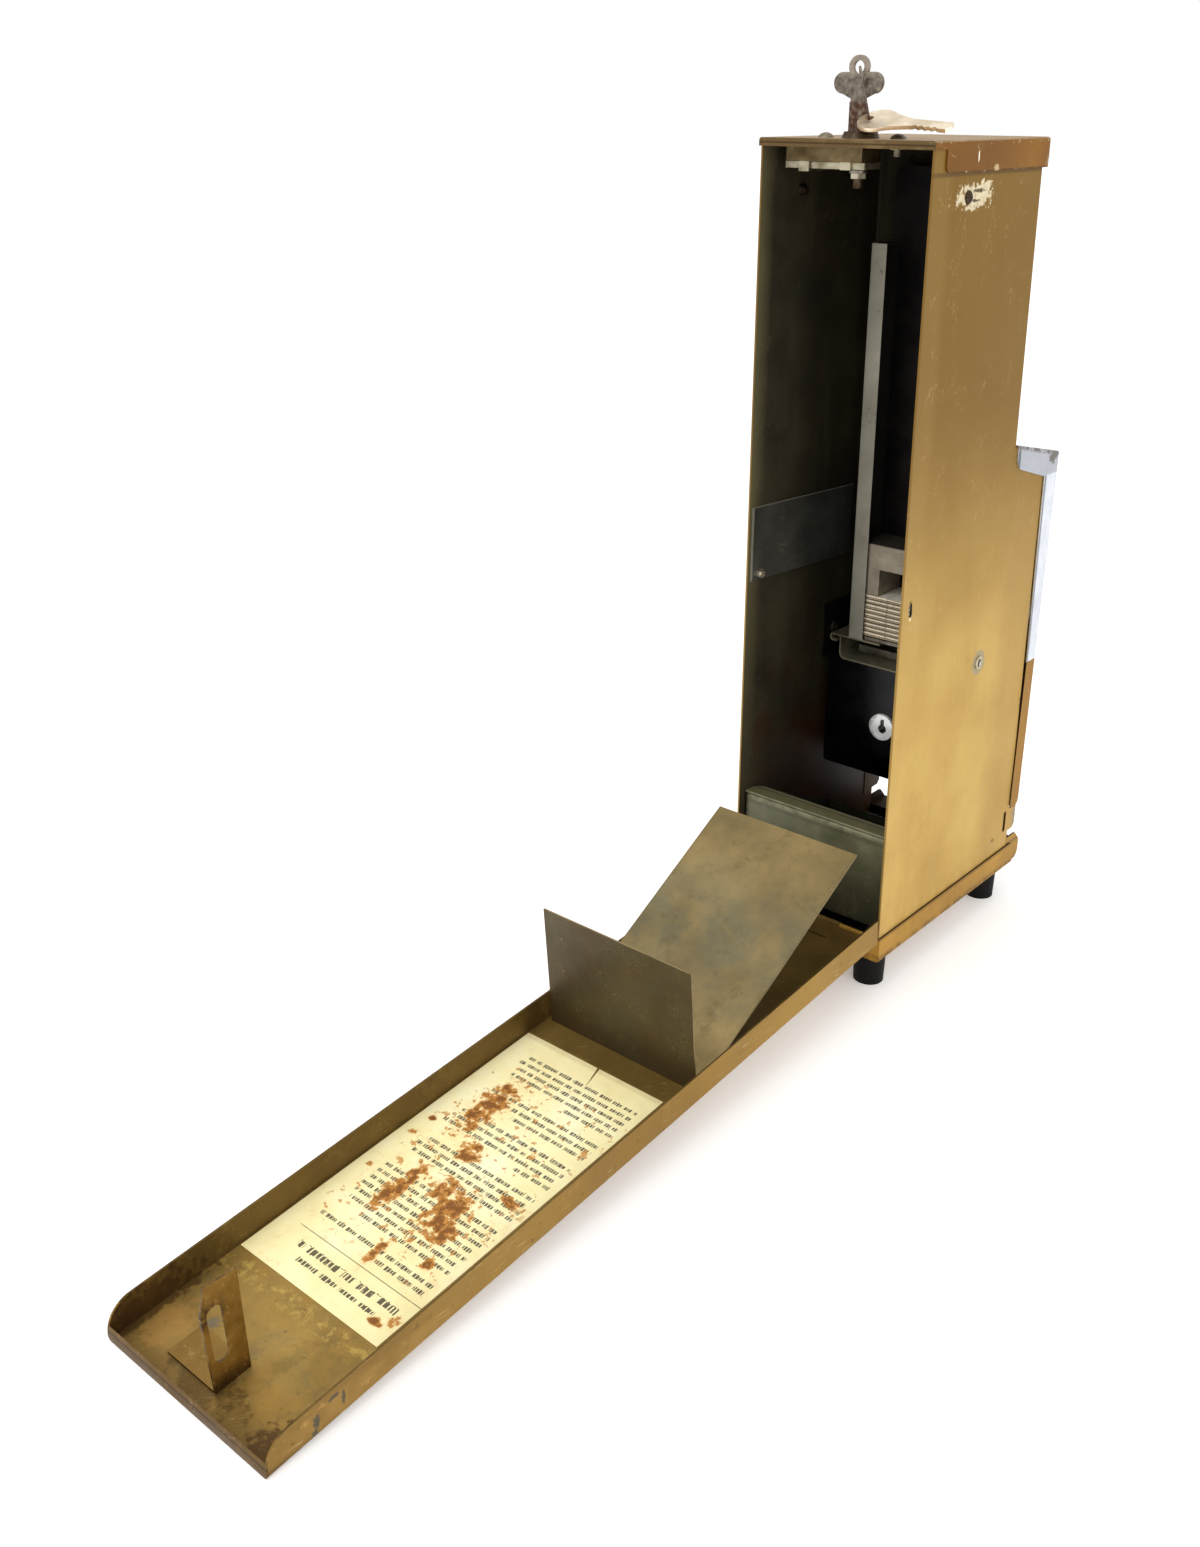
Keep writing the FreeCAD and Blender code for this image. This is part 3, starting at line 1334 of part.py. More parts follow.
def make_cash_box():
    """The pull-out coin box: a deep rear wall with a hemmed rim, sides that fall to a low front."""
    body = new_body("cash_box")
    rear = S.cash_box_rear_depth
    front = S.cash_box_front_depth
    bottom = at_height(S.cash_box_bottom)
    rear_top = at_height(S.cash_box_rear_top)
    front_top = at_height(S.cash_box_front_top)
    ledge = rear + S.cash_box_hem + 4
    outer = [
        (at_depth(rear), bottom),
        (at_depth(rear), rear_top),
        (at_depth(ledge), rear_top),
        (at_depth(front), front_top),
        (at_depth(front), bottom),
    ]
    pad(body, outline_sketch(body, "YZ_Plane", outer), S.cash_box_width, "Symmetric")
    half = S.cash_box_width / 2
    round_edges(body, 0, [(at_depth(rear), rear_top)], S.cash_box_hem / 2)
    round_edges(body, 2, [(side * half, at_depth(rear)) for side in (-1, 1)], 2.5)
    wall = S.cash_box_sheet
    fall = (rear_top - front_top) / (front - ledge)
    cavity = [
        (at_depth(rear + wall), bottom + wall),
        (at_depth(rear + wall), rear_top - wall - 0.6),
        (at_depth(rear + S.cash_box_hem), rear_top - wall - 0.6),
        (at_depth(rear + S.cash_box_hem), rear_top + 1),
        (at_depth(front - wall), rear_top + 1),
        (at_depth(front - wall), bottom + wall),
    ]
    pocket(body, outline_sketch(body, "YZ_Plane", cavity), S.cash_box_width - 2 * wall, "Symmetric")
    return body


def make_cash_box_runners():
    """Folded runners on the base's floor that the coin box slides on."""
    runners = []
    top = at_height(S.cash_box_bottom) - 0.25
    for side, hand in ((-1, "right"), (1, "left")):
        body = new_body(f"cash_box_runner_{hand}")
        wall = side * INNER_HALF
        web = side * (INNER_HALF - S.runner_width)
        floor = at_height(FLOOR_TOP)
        gauge = S.base_sheet
        profile = [
            (wall, top), (web, top), (web, floor), (web + side * gauge, floor),
            (web + side * gauge, top - gauge), (wall, top - gauge),
        ]
        length = S.cash_box_front_depth - 2
        pad(body, outline_sketch(body, "XZ_Plane", profile, -at_depth(2)), length)
        runners.append(body)
    return group("cash_box_runners", *runners)


def make_wall_plate():
    """The loose stiffening plate on the left side panel's inner face."""
    body = new_body("wall_plate")
    low = at_height(S.wall_plate_bottom)
    profile = [
        (at_depth(S.wall_plate_start), low),
        (at_depth(S.wall_plate_start), low + S.wall_plate_height),
        (at_depth(S.wall_plate_end), low + S.wall_plate_height - S.wall_plate_drop),
        (at_depth(S.wall_plate_end), low - S.wall_plate_drop),
    ]
    pad(body, outline_sketch(body, "YZ_Plane", profile, INNER_HALF), 0.9, reverse=True)
    hole = new_sketch(body, "YZ_Plane", INNER_HALF + 1)
    add_circle(hole, (at_depth(S.wall_screw_depth), at_height(S.wall_screw_height)), 1.6)
    pocket(body, hole, 4)
    return body


def make_side_screws():
    """The wall plate's screw, and the two upper screws with their nuts inside."""
    right = FreeCAD.Vector(-1, 0, 0)
    left = FreeCAD.Vector(1, 0, 0)
    place = (at_depth(S.wall_screw_depth), at_height(S.wall_screw_height))
    head = dome("wall_plate_screw_head", (HALF_WIDTH, *place), 3.2, 1.2, left)
    shank = cylinder("wall_plate_screw_shank", (HALF_WIDTH, *place), 5.4, 1.55, right)
    nut = hex_nut("wall_plate_screw_nut", (INNER_HALF - 0.9, *place), 2.8, 2.2, right)
    wall_screw = fused("wall_plate_screw", head, shank, nut)
    screws = []
    place = (at_depth(S.upper_screw_depth), at_height(S.upper_screw_height))
    for side, hand, outward, inward in ((-1, "right", right, left), (1, "left", left, right)):
        name = f"upper_screw_{hand}"
        head = dome(f"{name}_head", (side * HALF_WIDTH, *place), 3.6, 2.0, outward)
        shank = cylinder(f"{name}_shank", (side * HALF_WIDTH, *place), 5, S.screw_shank_radius - 0.02, inward)
        nut = hex_nut(f"{name}_nut", (side * INNER_HALF, *place), 3.2, 2.4, inward)
        screws.append(fused(name, head, shank, nut))
    return [wall_screw, group("upper_side_screws", *screws)]


# ---------------------------------------------------------------- top lock


def bolt_heights():
    """Bottom and top of the sliding bolt, close under the lock case."""
    high = at_height(S.lock_case_bottom) - S.bolt_clearance
    return high - S.bolt_thickness, high


def make_lock_strap():
    """The steel strap between the cap and the lock case."""
    body = new_body("lock_strap")
    high = at_height(CAP_UNDERSIDE)
    half = S.strap_width / 2
    rear = at_depth(S.lock_case_rear_depth + 1)
    front = at_depth(S.lock_case_front_depth)
    corners = [(-half, front), (half, front), (half, rear), (-half, rear)]
    pad(body, outline_sketch(body, "XY_Plane", corners, high - S.strap_thickness), S.strap_thickness)
    holes = new_sketch(body, "XY_Plane", high + 1)
    lock_y = at_depth(S.lock_depth)
    add_circle(holes, (S.lock_x, lock_y), S.collar_top_radius + 0.1)
    for side in (-1, 1):
        add_circle(holes, (side * S.lock_screw_spacing / 2, lock_y), S.screw_shank_radius + 0.1)
    pocket(body, holes, S.strap_thickness + 2)
    return body


def make_lock_case():
    """The die-cast lock case under the strap, bored for the plug and a screw."""
    body = new_body("lock_case")
    high = at_height(CAP_UNDERSIDE) - S.strap_thickness
    low = at_height(S.lock_case_bottom)
    rear = at_depth(S.lock_case_rear_depth)
    front = at_depth(S.lock_case_front_depth)
    corners = [(-S.lock_case_right, front), (S.lock_case_left, front),
               (S.lock_case_left, rear), (-S.lock_case_right, rear)]
    pad(body, outline_sketch(body, "XY_Plane", corners, low), high - low)
    round_edges(body, 2, [(S.lock_case_left, rear), (S.lock_case_left, front)], 1.5)
    holes = new_sketch(body, "XY_Plane", high + 1)
    lock_y = at_depth(S.lock_depth)
    add_circle(holes, (S.lock_x, lock_y), S.plug_core_radius + S.plug_clearance)
    add_circle(holes, (S.lock_screw_spacing / 2, lock_y), S.screw_shank_radius + 0.1)
    pocket(body, holes, high - low + 2)
    return body


def make_lock_collar():
    """The round collar on the cap that the plug turns in."""
    top = at_height(S.cap_top)
    centre = (S.lock_x, at_depth(S.lock_depth))
    flange = doc.addObject("Part::Cone", "lock_collar_flange")
    bind(flange, "Radius1", S.collar_radius)
    bind(flange, "Radius2", S.collar_top_radius)
    bind(flange, "Height", S.collar_height)
    for letter, value in zip("xyz", (*centre, top)):
        bind(flange, f"Placement.Base.{letter}", value)
    neck_bottom = at_height(CAP_UNDERSIDE) - S.strap_thickness
    neck = cylinder("lock_collar_neck", (*centre, neck_bottom), top - neck_bottom + 0.5, S.collar_top_radius)
    bore = cylinder("lock_collar_bore", (*centre, neck_bottom - 1), S.collar_height + 6,
                    S.plug_radius + S.plug_clearance)
    return cut("lock_collar", fused("lock_collar_solid", flange, neck), bore)


def make_lock_screws():
    """The two domed screws through the cap and the nuts that hold them."""
    screws = []
    nuts = []
    top = at_height(S.cap_top)
    lock_y = at_depth(S.lock_depth)
    strap_bottom = at_height(CAP_UNDERSIDE) - S.strap_thickness
    ends = ((-1, "right", strap_bottom), (1, "left", at_height(S.lock_case_bottom)))
    for side, hand, seat in ends:
        x = side * S.lock_screw_spacing / 2
        head = dome(f"lock_screw_{hand}_head", (x, lock_y, top), S.screw_head_radius, S.screw_head_height)
        drop = S.lock_screw_drop if side < 0 else 0.0
        shank = cylinder(f"lock_screw_{hand}_shank", (x, lock_y, seat - drop), top - seat + drop,
                         S.screw_shank_radius)
        screws.append(fused(f"lock_screw_{hand}", head, shank))
    x = -S.lock_screw_spacing / 2
    nut = hex_nut("lock_nut_hexagon", (x, lock_y, strap_bottom - 3.2), 4.2, 3.2)
    hole = cylinder("lock_nut_hole", (x, lock_y, strap_bottom - 4), 5, S.screw_shank_radius + 0.02)
    nuts.append(cut("lock_nut", nut, hole))
    return [group("lock_screws", *screws), nuts[0]]


def make_bolt_keepers():
    """The staple that carries the bolt's tail and the pair of lugs beside its nose."""
    low, high = bolt_heights()
    front, rear = bolt_depths()
    gap = S.bolt_clearance
    thick = S.keeper_thickness
    top = at_height(S.lock_case_bottom)
    outer_rear = at_depth(rear - gap)
    outer_front = at_depth(front + gap)
    wide = S.keeper_width
    staple_x = S.lock_case_left - S.staple_inset
    legs = []
    for name, start in (("staple", staple_x), ("lug", S.lock_x + 2.3)):
        for end, near in (("rear", outer_rear), ("front", outer_front - thick)):
            legs.append(box(f"{name}_{end}", (start, start + wide), (near, near + thick),
                            (low - gap, top)))
    floor = box("staple_floor", (staple_x, staple_x + wide), (outer_front - thick, outer_rear + thick),
                (low - gap - thick, low - gap))
    staple = fused("bolt_staple", legs[0], legs[1], floor)
    return group("bolt_keepers", staple, legs[2], legs[3])


def bolt_depths():
    """Front and rear depth of the bolt, which enters the rear part of the hasp's slot."""
    rear = S.hasp_slot_start - S.hinge_offset + S.bolt_entry
    return rear + S.bolt_width, rear


def make_lock_bolt():
    """The flat bolt, slotted round the plug's tail so that it can slide."""
    body = new_body("lock_bolt")
    low, high = bolt_heights()
    front, rear = bolt_depths()
    nose = -S.hasp_face + S.hasp_sheet + 0.9
    end = nose + S.bolt_length
    corners = [(nose, at_depth(front)), (end, at_depth(front)), (end, at_depth(rear)), (nose, at_depth(rear))]
    pad(body, outline_sketch(body, "XY_Plane", corners, low), S.bolt_thickness)
    round_edges(body, 2, [(nose, at_depth(front)), (nose, at_depth(rear))], 1.8)
    clear = S.tail_radius + S.bolt_clearance
    lock_y = at_depth(S.lock_depth)
    slot = [
        (S.lock_x - clear, lock_y - clear),
        (S.lock_x + clear + S.bolt_throw, lock_y - clear),
        (S.lock_x + clear + S.bolt_throw, lock_y + clear),
        (S.lock_x - clear, lock_y + clear),
    ]
    pocket(body, outline_sketch(body, "XY_Plane", slot, high + 1), S.bolt_thickness + 2)
    reach = S.cam_radius * cosine(CAM_REST_ANGLE)
    wide = S.cam_pin_radius + S.cam_pin_clearance
    cross_slot = [
        (S.lock_x + reach - wide, lock_y - S.cam_radius - wide),
        (S.lock_x + reach + wide, lock_y - S.cam_radius - wide),
        (S.lock_x + reach + wide, lock_y - reach + wide),
        (S.lock_x + reach - wide, lock_y - reach + wide),
    ]
    pocket(body, outline_sketch(body, "XY_Plane", cross_slot, high + 1), S.bolt_thickness + 2)
    return body


def make_lock_cam(top):
    """The arm under the bolt, whose pin stands in the bolt's cross slot and throws it."""
    body = new_body("lock_cam")
    disc = new_sketch(body, "XY_Plane", -S.cam_thickness)
    add_circle(disc, (0, 0), S.cam_disc_radius)
    pad(body, disc, S.cam_thickness)
    half = S.cam_pin_radius + 0.9
    arm = [(0, -half), (S.cam_radius + half, -half), (S.cam_radius + half, half), (0, half)]
    pad(body, outline_sketch(body, "XY_Plane", arm, -S.cam_thickness), S.cam_thickness)
    pin = new_sketch(body, "XY_Plane")
    add_circle(pin, (S.cam_radius, 0), S.cam_pin_radius)
    pad(body, pin, S.bolt_clearance + S.bolt_thickness)
    hole = new_sketch(body, "XY_Plane", 1)
    add_circle(hole, (0, 0), S.tail_radius + 0.02)
    pocket(body, hole, S.cam_thickness + 2)
    body.Placement = FreeCAD.Placement(FreeCAD.Vector(), FreeCAD.Rotation(UP, -CAM_REST_ANGLE.value))
    for letter, value in zip("xyz", (S.lock_x, at_depth(S.lock_depth), top)):
        bind(body, f"Placement.Base.{letter}", value)
    doc.recompute()
    return body


def make_lock_plug():
    """The plug with its tail, the cam washer and the end nut, all turned by the key."""
    centre = (S.lock_x, at_depth(S.lock_depth))
    face = at_height(S.cap_top) + S.collar_height - 0.3
    case_bottom = at_height(S.lock_case_bottom)
    tail_end = at_height(S.tail_bottom)
    case_top = at_height(CAP_UNDERSIDE) - S.strap_thickness + 0.1
    head = cylinder("lock_plug_head", (*centre, case_top), face - case_top, S.plug_radius)
    core = cylinder("lock_plug_core", (*centre, case_bottom), case_top - case_bottom + 1, S.plug_core_radius)
    tail = cylinder("lock_plug_tail", (*centre, tail_end), case_bottom - tail_end, S.tail_radius)
    key_x = S.lock_x + S.key_offset
    across = S.key_blade_width / 2 + 0.05
    deep = S.key_thickness / 2 + 0.05
    keyway = box("lock_plug_keyway", (key_x - across, key_x + across), (centre[1] - deep, centre[1] + deep),
                 (case_top + 0.8, face + 1))
    plug = cut("lock_plug", fused("lock_plug_solid", head, core, tail), keyway)
    low, high = bolt_heights()
    cam_top = low - S.bolt_clearance
    nut_top = cam_top - S.cam_thickness
    nut_body = hex_nut("plug_nut_hexagon", (*centre, nut_top - 2.6), 4.2, 2.6)
    nut_hole = cylinder("plug_nut_hole", (*centre, nut_top - 4), 6, S.tail_radius + 0.02)
    return [plug, make_lock_cam(cam_top), cut("plug_nut", nut_body, nut_hole)]


def make_door_key():
    """The flat key standing in the lock: two lobes, an eye above them and the blade below."""
    body = new_body("door_key")
    x = S.lock_x + S.key_offset
    y_face = at_depth(S.lock_depth) + S.key_thickness / 2
    blade = S.key_blade_width / 2
    neck = S.key_neck_width / 2
    blade_end = at_height(CAP_UNDERSIDE) + 1.2
    shoulder = at_height(S.key_shoulder)
    bow = at_height(S.key_bow_height)
    lobe = S.key_lobe_offset
    low = bow - S.key_lobe_radius
    high = bow + S.key_lobe_radius
    outline = [
        (x - blade + 1.6, blade_end),
        (x + blade - 1.6, blade_end),
        (x + blade, blade_end + 2.4),
        (x + blade, shoulder),
        (x + neck, shoulder),
        (x + neck, shoulder + 1.4),
        (x + lobe, low),
        (x + lobe, high),
        (x - lobe, high),
        (x - lobe, low),
        (x - neck, shoulder + 1.4),
        (x - neck, shoulder),
        (x - blade, shoulder),
        (x - blade, blade_end + 2.4),
    ]
    pad(body, outline_sketch(body, "XZ_Plane", outline, -y_face), S.key_thickness)
    for side in (-1, 1):
        rounding = new_sketch(body, "XZ_Plane", -y_face)
        add_circle(rounding, (x + side * lobe, bow), S.key_lobe_radius)
        pad(body, rounding, S.key_thickness)
    eye = new_sketch(body, "XZ_Plane", -y_face)
    add_circle(eye, (x, at_height(S.key_eye_height)), S.key_eye_outer)
    pad(body, eye, S.key_thickness)
    hole = new_sketch(body, "XZ_Plane", -y_face - 1)
    add_circle(hole, (x, at_height(S.key_eye_height)), S.key_eye_inner)
    pocket(body, hole, S.key_thickness + 2, reverse=True)
    return body


def spare_key_frame():
    """Where the spare key lies: its bow's middle, and the turn of its flat outline."""
    centre = FreeCAD.Vector(S.spare_bow_x.value, at_depth(S.spare_bow_depth).value,
                            at_height(S.spare_bow_height).value)
    level = FreeCAD.Rotation(UP, 180)
    slope = FreeCAD.Rotation(FreeCAD.Vector(0, 1, 0), -S.spare_slope.value)
    roll = FreeCAD.Rotation(FreeCAD.Vector(1, 0, 0), -S.spare_roll.value)
    return FreeCAD.Placement(centre, slope * roll * level)


def make_spare_key():
    """The second key, drawn flat along +X from its bow and then laid against the lock screw."""
    body = new_body("spare_key")
    sketch = new_sketch(body, "XY_Plane")
    add_circle(sketch, (0, 0), S.spare_bow_radius)
    pad(body, sketch, S.key_thickness, "Symmetric")
    half = S.spare_blade_width / 2
    radius = S.spare_bow_radius
    start = radius + S.spare_taper_length
    end = radius + S.spare_blade_length
    tooth = S.spare_tooth
    pitch = (end - start - 4) / 5
    outline = [
        (0, -radius + 0.4), (radius / 2, -radius + 1.6), (radius, -half - 2.4), (start, -half),
    ]
    for number in range(4):
        root = start + pitch * (number + 0.5)
        outline += [(root, -half), (root + pitch / 2, -half + tooth)]
    outline += [
        (start + pitch * 4.5, -half), (end - 1.6, -half), (end, -half + 3), (end - 1, half),
        (start, half), (radius, half + 2.4), (radius / 2, radius - 1.6), (0, radius - 0.4),
    ]
    pad(body, outline_sketch(body, "XY_Plane", outline), S.key_thickness, "Symmetric")
    hole = new_sketch(body, "XY_Plane")
    add_circle(hole, (S.spare_hole_inset - S.spare_bow_radius, 0), S.spare_hole_radius)
    pocket(body, hole, S.key_thickness * 2, "Symmetric")
    body.Placement = spare_key_frame()
    return body


def make_key_ring():
    """The wire loop from the standing key's eye, through the spare key's hole and round its edge."""
    eye = FreeCAD.Vector((S.lock_x + S.key_offset).value, at_depth(S.lock_depth).value,
                         at_height(S.key_eye_height).value)
    across = FreeCAD.Vector(0.6, -0.8, 0)
    hole = spare_key_frame().multVec(FreeCAD.Vector((S.spare_hole_inset - S.spare_bow_radius).value, 0, 0))
    foot = hole + across * (S.ring_width.value / 2)
    down = (foot - eye).normalize()
    foot = foot + down * S.ring_overhang.value
    length = Size((foot - eye).Length, f"{(foot - eye).Length:.6g}")
    body = new_body("key_ring")
    spine = new_sketch(body, "XZ_Plane")
    add_slot(spine, (0, 0), length, S.ring_width)
    section = new_sketch(body, "XY_Plane")
    add_circle(section, (S.ring_width / 2, 0), S.ring_wire_radius)
    pipe = body.newObject("PartDesign::AdditivePipe", "Wire")
    pipe.Profile = section
    pipe.Spine = (spine, ["Edge1", "Edge2", "Edge3", "Edge4"])
    turn = FreeCAD.Rotation(across, FreeCAD.Vector(), -down, "ZXY")
    body.Placement = FreeCAD.Placement((eye + foot) / 2, turn)
    doc.recompute()
    return body


# ---------------------------------------------------------------- rear door
# The door is drawn lying level: X across, Y along it from the hinge, Z up from its inner face.


def door_slope():
    """How far the open door dips below level to rest its tip near the counter."""
    drop = S.foot_height + S.hinge_height - S.door_sheet - S.door_table_gap
    return math.degrees(math.asin(drop.value / S.door_length.value))


def place_on_door(item):
    """Lay a piece drawn on the level door onto the open door."""
    turn = FreeCAD.Rotation(FreeCAD.Vector(1, 0, 0), -door_slope())
    item.Placement = FreeCAD.Placement(FreeCAD.Vector(0, 0, 0), turn)
    bind(item, "Placement.Base.y", at_depth(0) + S.hinge_offset)
    bind(item, "Placement.Base.z", at_height(S.hinge_height))
    return item


def make_door_pan():
    """The pressed door: a skin with a flange down each side and rounded tip corners."""
    body = new_body("door_pan")
    half = S.door_width / 2
    side = [
        (S.door_start, -S.door_sheet),
        (S.door_length, -S.door_sheet),
        (S.door_length, S.door_tip_lip),
        (S.door_length - 2, S.door_flange),
        (S.door_start, S.door_flange),
    ]
    pad(body, outline_sketch(body, "YZ_Plane", side), S.door_width, "Symmetric")
    round_edges(body, 0, [(S.door_length - 2, S.door_flange)], S.door_tip_radius)
    round_edges(body, 1, [(half, -S.door_sheet), (-half, -S.door_sheet)], 1.8)
    inside = [
        (S.door_start - 1, 0),
        (S.door_length - S.door_sheet, 0),
        (S.door_length - S.door_sheet, S.door_flange + 1),
        (S.door_start - 1, S.door_flange + 1),
    ]
    pocket(body, outline_sketch(body, "YZ_Plane", inside), S.door_width - 2 * S.door_sheet, "Symmetric")
    return place_on_door(body)


def knuckle_spans(first):
    """Alternate knuckles along the hinge: the base's are first, the door's second."""
    count = 5
    pitch = S.hinge_length / count
    start = -S.hinge_length / 2
    numbers = range(0 if first else 1, count, 2)
    half_gap = S.knuckle_gap / 2
    starts = [start + number * pitch for number in numbers]
    return [(low + half_gap, low + pitch - half_gap) for low in starts]


def make_hinge():
    """The hinge: a leaf on the base, a leaf on the door and the pin through their knuckles."""
    axis_y = at_depth(0) + S.hinge_offset
    axis_z = at_height(S.hinge_height)
    base_parts = []
    for number, (low, high) in enumerate(knuckle_spans(True)):
        barrel = cylinder(f"base_knuckle_{number}", (low, axis_y, axis_z), high - low, S.knuckle_radius, LEFTWARD)
        leaf = box(f"base_leaf_{number}", (low, high),
                   (at_depth(0), at_depth(0) + S.hinge_leaf_thickness), (axis_z - S.hinge_leaf, axis_z))
        web = box(f"base_web_{number}", (low, high), (at_depth(0) + 0.4, axis_y),
                  (axis_z - S.knuckle_radius, axis_z - S.knuckle_radius + S.hinge_leaf_thickness))
        base_parts += [barrel, leaf, web]
    solid = fused("base_hinge_solid", *base_parts)
    bore = cylinder("base_hinge_bore", (-S.hinge_length, axis_y, axis_z), 2 * S.hinge_length,
                    S.hinge_pin_radius + 0.02, LEFTWARD)
    base_leaf = cut("base_hinge_leaf", solid, bore)
    pin = cylinder("hinge_pin", (-S.hinge_length / 2 - 1, axis_y, axis_z), S.hinge_length + 2,
                   S.hinge_pin_radius, LEFTWARD)
    door_parts = []
    for number, (low, high) in enumerate(knuckle_spans(False)):
        barrel = cylinder(f"door_knuckle_{number}", (low, 0, 0), high - low, S.knuckle_radius, LEFTWARD)
        leaf = box(f"door_leaf_{number}", (low, high), (0, S.door_start + S.door_leaf),
                   (0.0, S.hinge_leaf_thickness))
        door_parts += [barrel, leaf]
    door_solid = fused("door_hinge_solid", *door_parts)
    door_bore = cylinder("door_hinge_bore", (-S.hinge_length, 0, 0), 2 * S.hinge_length,
                         S.hinge_pin_radius + 0.08, LEFTWARD)
    door_leaf = cut("door_hinge_leaf", door_solid, door_bore)
    return [base_leaf, pin, place_on_door(door_leaf)]


def make_door_baffle():
    """The bent sheet on the door: an upright baffle, a foot and a long coin deflector."""
    foot_end = S.baffle_place - S.baffle_foot
    path = [
        (S.baffle_place, S.baffle_height),
        (S.baffle_place, 0),
        (foot_end, 0),
        (S.deflector_edge_place, S.deflector_edge_height),
    ]
    sheet_part = bent_sheet("door_baffle_blank", path, S.baffle_sheet, S.baffle_width)
    trim_side = (S.baffle_width - S.deflector_width) / 2
    half = S.baffle_width / 2
    trims = []
    for side, hand in ((-1, "right"), (1, "left")):
        low = half - trim_side if side > 0 else -half - 1
        high = half + 1 if side > 0 else -half + trim_side
        trims.append(box(f"deflector_trim_{hand}", (low, high), (0, foot_end), (-1, S.baffle_height)))
    baffle = cut("door_baffle", sheet_part, fused("deflector_trim", *trims))
    return place_on_door(baffle)


def make_direction_label():
    """The paper label on the door's inner face, torn in from the edge nearest the baffle."""
    body = new_body("direction_label")
    left = S.label_left
    right = left - S.label_width
    start = S.label_start
    end = start + S.label_length
    outline = [
        (right, start), (1.4, start), (-2.6, start + S.label_tear), (2.8, start),
        (left, start), (left, end), (right, end),
    ]
    pad(body, outline_sketch(body, "XY_Plane", outline), S.label_thickness)
    return place_on_door(body)


def make_hasp_bracket():
    """The slotted bracket near the door's tip that the bolt passes through."""
    body = new_body("hasp_bracket")
    start = S.hasp_start
    end = start + S.hasp_length
    face = -S.hasp_face
    thick = S.hasp_sheet
    leg = [(face, 0), (face + S.hasp_leg, 0), (face + S.hasp_leg, thick), (face, thick)]
    pad(body, outline_sketch(body, "XZ_Plane", leg, -end), S.hasp_length)
    top = S.hasp_height
    blade = [
        (start, 0), (end, 0), (end, top - S.hasp_corner), (end - S.hasp_lean, top),
        (start - S.hasp_lean / 2, top - 1.6),
    ]
    pad(body, outline_sketch(body, "YZ_Plane", blade, face), thick)
    slot = new_sketch(body, "YZ_Plane", face - 1)
    centre = bolt_slot_place()
    middle = S.hasp_slot_start + S.hasp_slot_length / 2
    add_slot(slot, (centre, middle), S.hasp_slot_length, S.hasp_slot_width)
    pocket(body, slot, thick + 2, reverse=True)
    return place_on_door(body)


def bolt_slot_place():
    """Distance of the hasp's slot from the hinge, level with the bolt when the door is shut."""
    low, high = bolt_heights()
    return (low + high) / 2 - at_height(S.hinge_height) - (S.bolt_clearance + S.cam_thickness) / 2


# ---------------------------------------------------------------- build and write


def build_all():
    pieces = [make_housing_shell(), make_top_cap(), make_base_pan(), make_delivery_lip()]
    pieces += make_feet()
    pieces += [make_chrome_hood(), make_lower_front_cover(), make_escutcheon()]
    pieces += [make_coin_slide(), make_slide_handle(), make_ejector_blade()]
    pieces += [make_shelf_plate(), make_slide_tunnel(), make_mechanism_case()]
    pieces += make_case_lock()
    pieces += [make_mechanism_bracket(), make_side_rivets()]
    pieces += [make_magazine_rail(1), make_magazine_rail(-1), make_magazine_back()]
    pieces += [make_magazine_standoffs(), make_stamp_folders(), make_stamp_weight()]
    pieces += [make_delivery_chute(), make_cash_box(), make_cash_box_runners()]
    pieces += [make_wall_plate()]
    pieces += make_side_screws()
    pieces += [make_lock_strap(), make_lock_case(), make_lock_collar()]
    pieces += make_lock_screws()
    pieces += [make_bolt_keepers(), make_lock_bolt()]
    pieces += make_lock_plug()
    pieces += [make_door_key(), make_spare_key(), make_key_ring()]
    pieces += make_hinge()
    pieces += [make_door_pan(), make_door_baffle(), make_direction_label(), make_hasp_bracket()]
    doc.recompute()
    return pieces


def check(pieces):
    for item in doc.Objects:
        if "Invalid" in item.State or "Error" in item.State:
            raise RuntimeError(f"{item.Label} failed: {item.State}")
    for piece in pieces:
        if piece.Shape.isNull() or not piece.Shape.isValid() or not piece.Shape.Solids:
            raise RuntimeError(f"{piece.Label} has no valid shape")


def write(pieces):
    os.makedirs("parts", exist_ok=True)
    for piece in pieces:
        piece.Shape.exportStep(f"parts/{piece.Label}.step")
    print(f"{len(pieces)} nodes, {sum(len(piece.Shape.Solids) for piece in pieces)} solids")


all_pieces = build_all()
check(all_pieces)
write(all_pieces)
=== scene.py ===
import math
import random
import bmesh
import bpy
from mathutils import Matrix, Vector


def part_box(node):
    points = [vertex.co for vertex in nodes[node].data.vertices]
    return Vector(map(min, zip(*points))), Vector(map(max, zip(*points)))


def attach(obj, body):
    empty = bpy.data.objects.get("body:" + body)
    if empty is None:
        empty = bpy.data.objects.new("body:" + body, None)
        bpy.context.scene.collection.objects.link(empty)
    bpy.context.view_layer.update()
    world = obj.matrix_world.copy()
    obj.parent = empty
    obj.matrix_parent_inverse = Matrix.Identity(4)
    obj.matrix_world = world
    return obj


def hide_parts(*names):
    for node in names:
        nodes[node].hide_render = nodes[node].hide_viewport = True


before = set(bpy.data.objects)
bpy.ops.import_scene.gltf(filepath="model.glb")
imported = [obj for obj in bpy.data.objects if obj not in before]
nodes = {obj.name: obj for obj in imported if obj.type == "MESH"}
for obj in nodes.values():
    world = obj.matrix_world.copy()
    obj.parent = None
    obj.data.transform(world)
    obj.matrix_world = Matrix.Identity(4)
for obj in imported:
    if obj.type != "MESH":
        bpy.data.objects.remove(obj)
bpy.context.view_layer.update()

MM = 0.001
OUT = 1000.0        # past the object on any side, for a strip with one end open
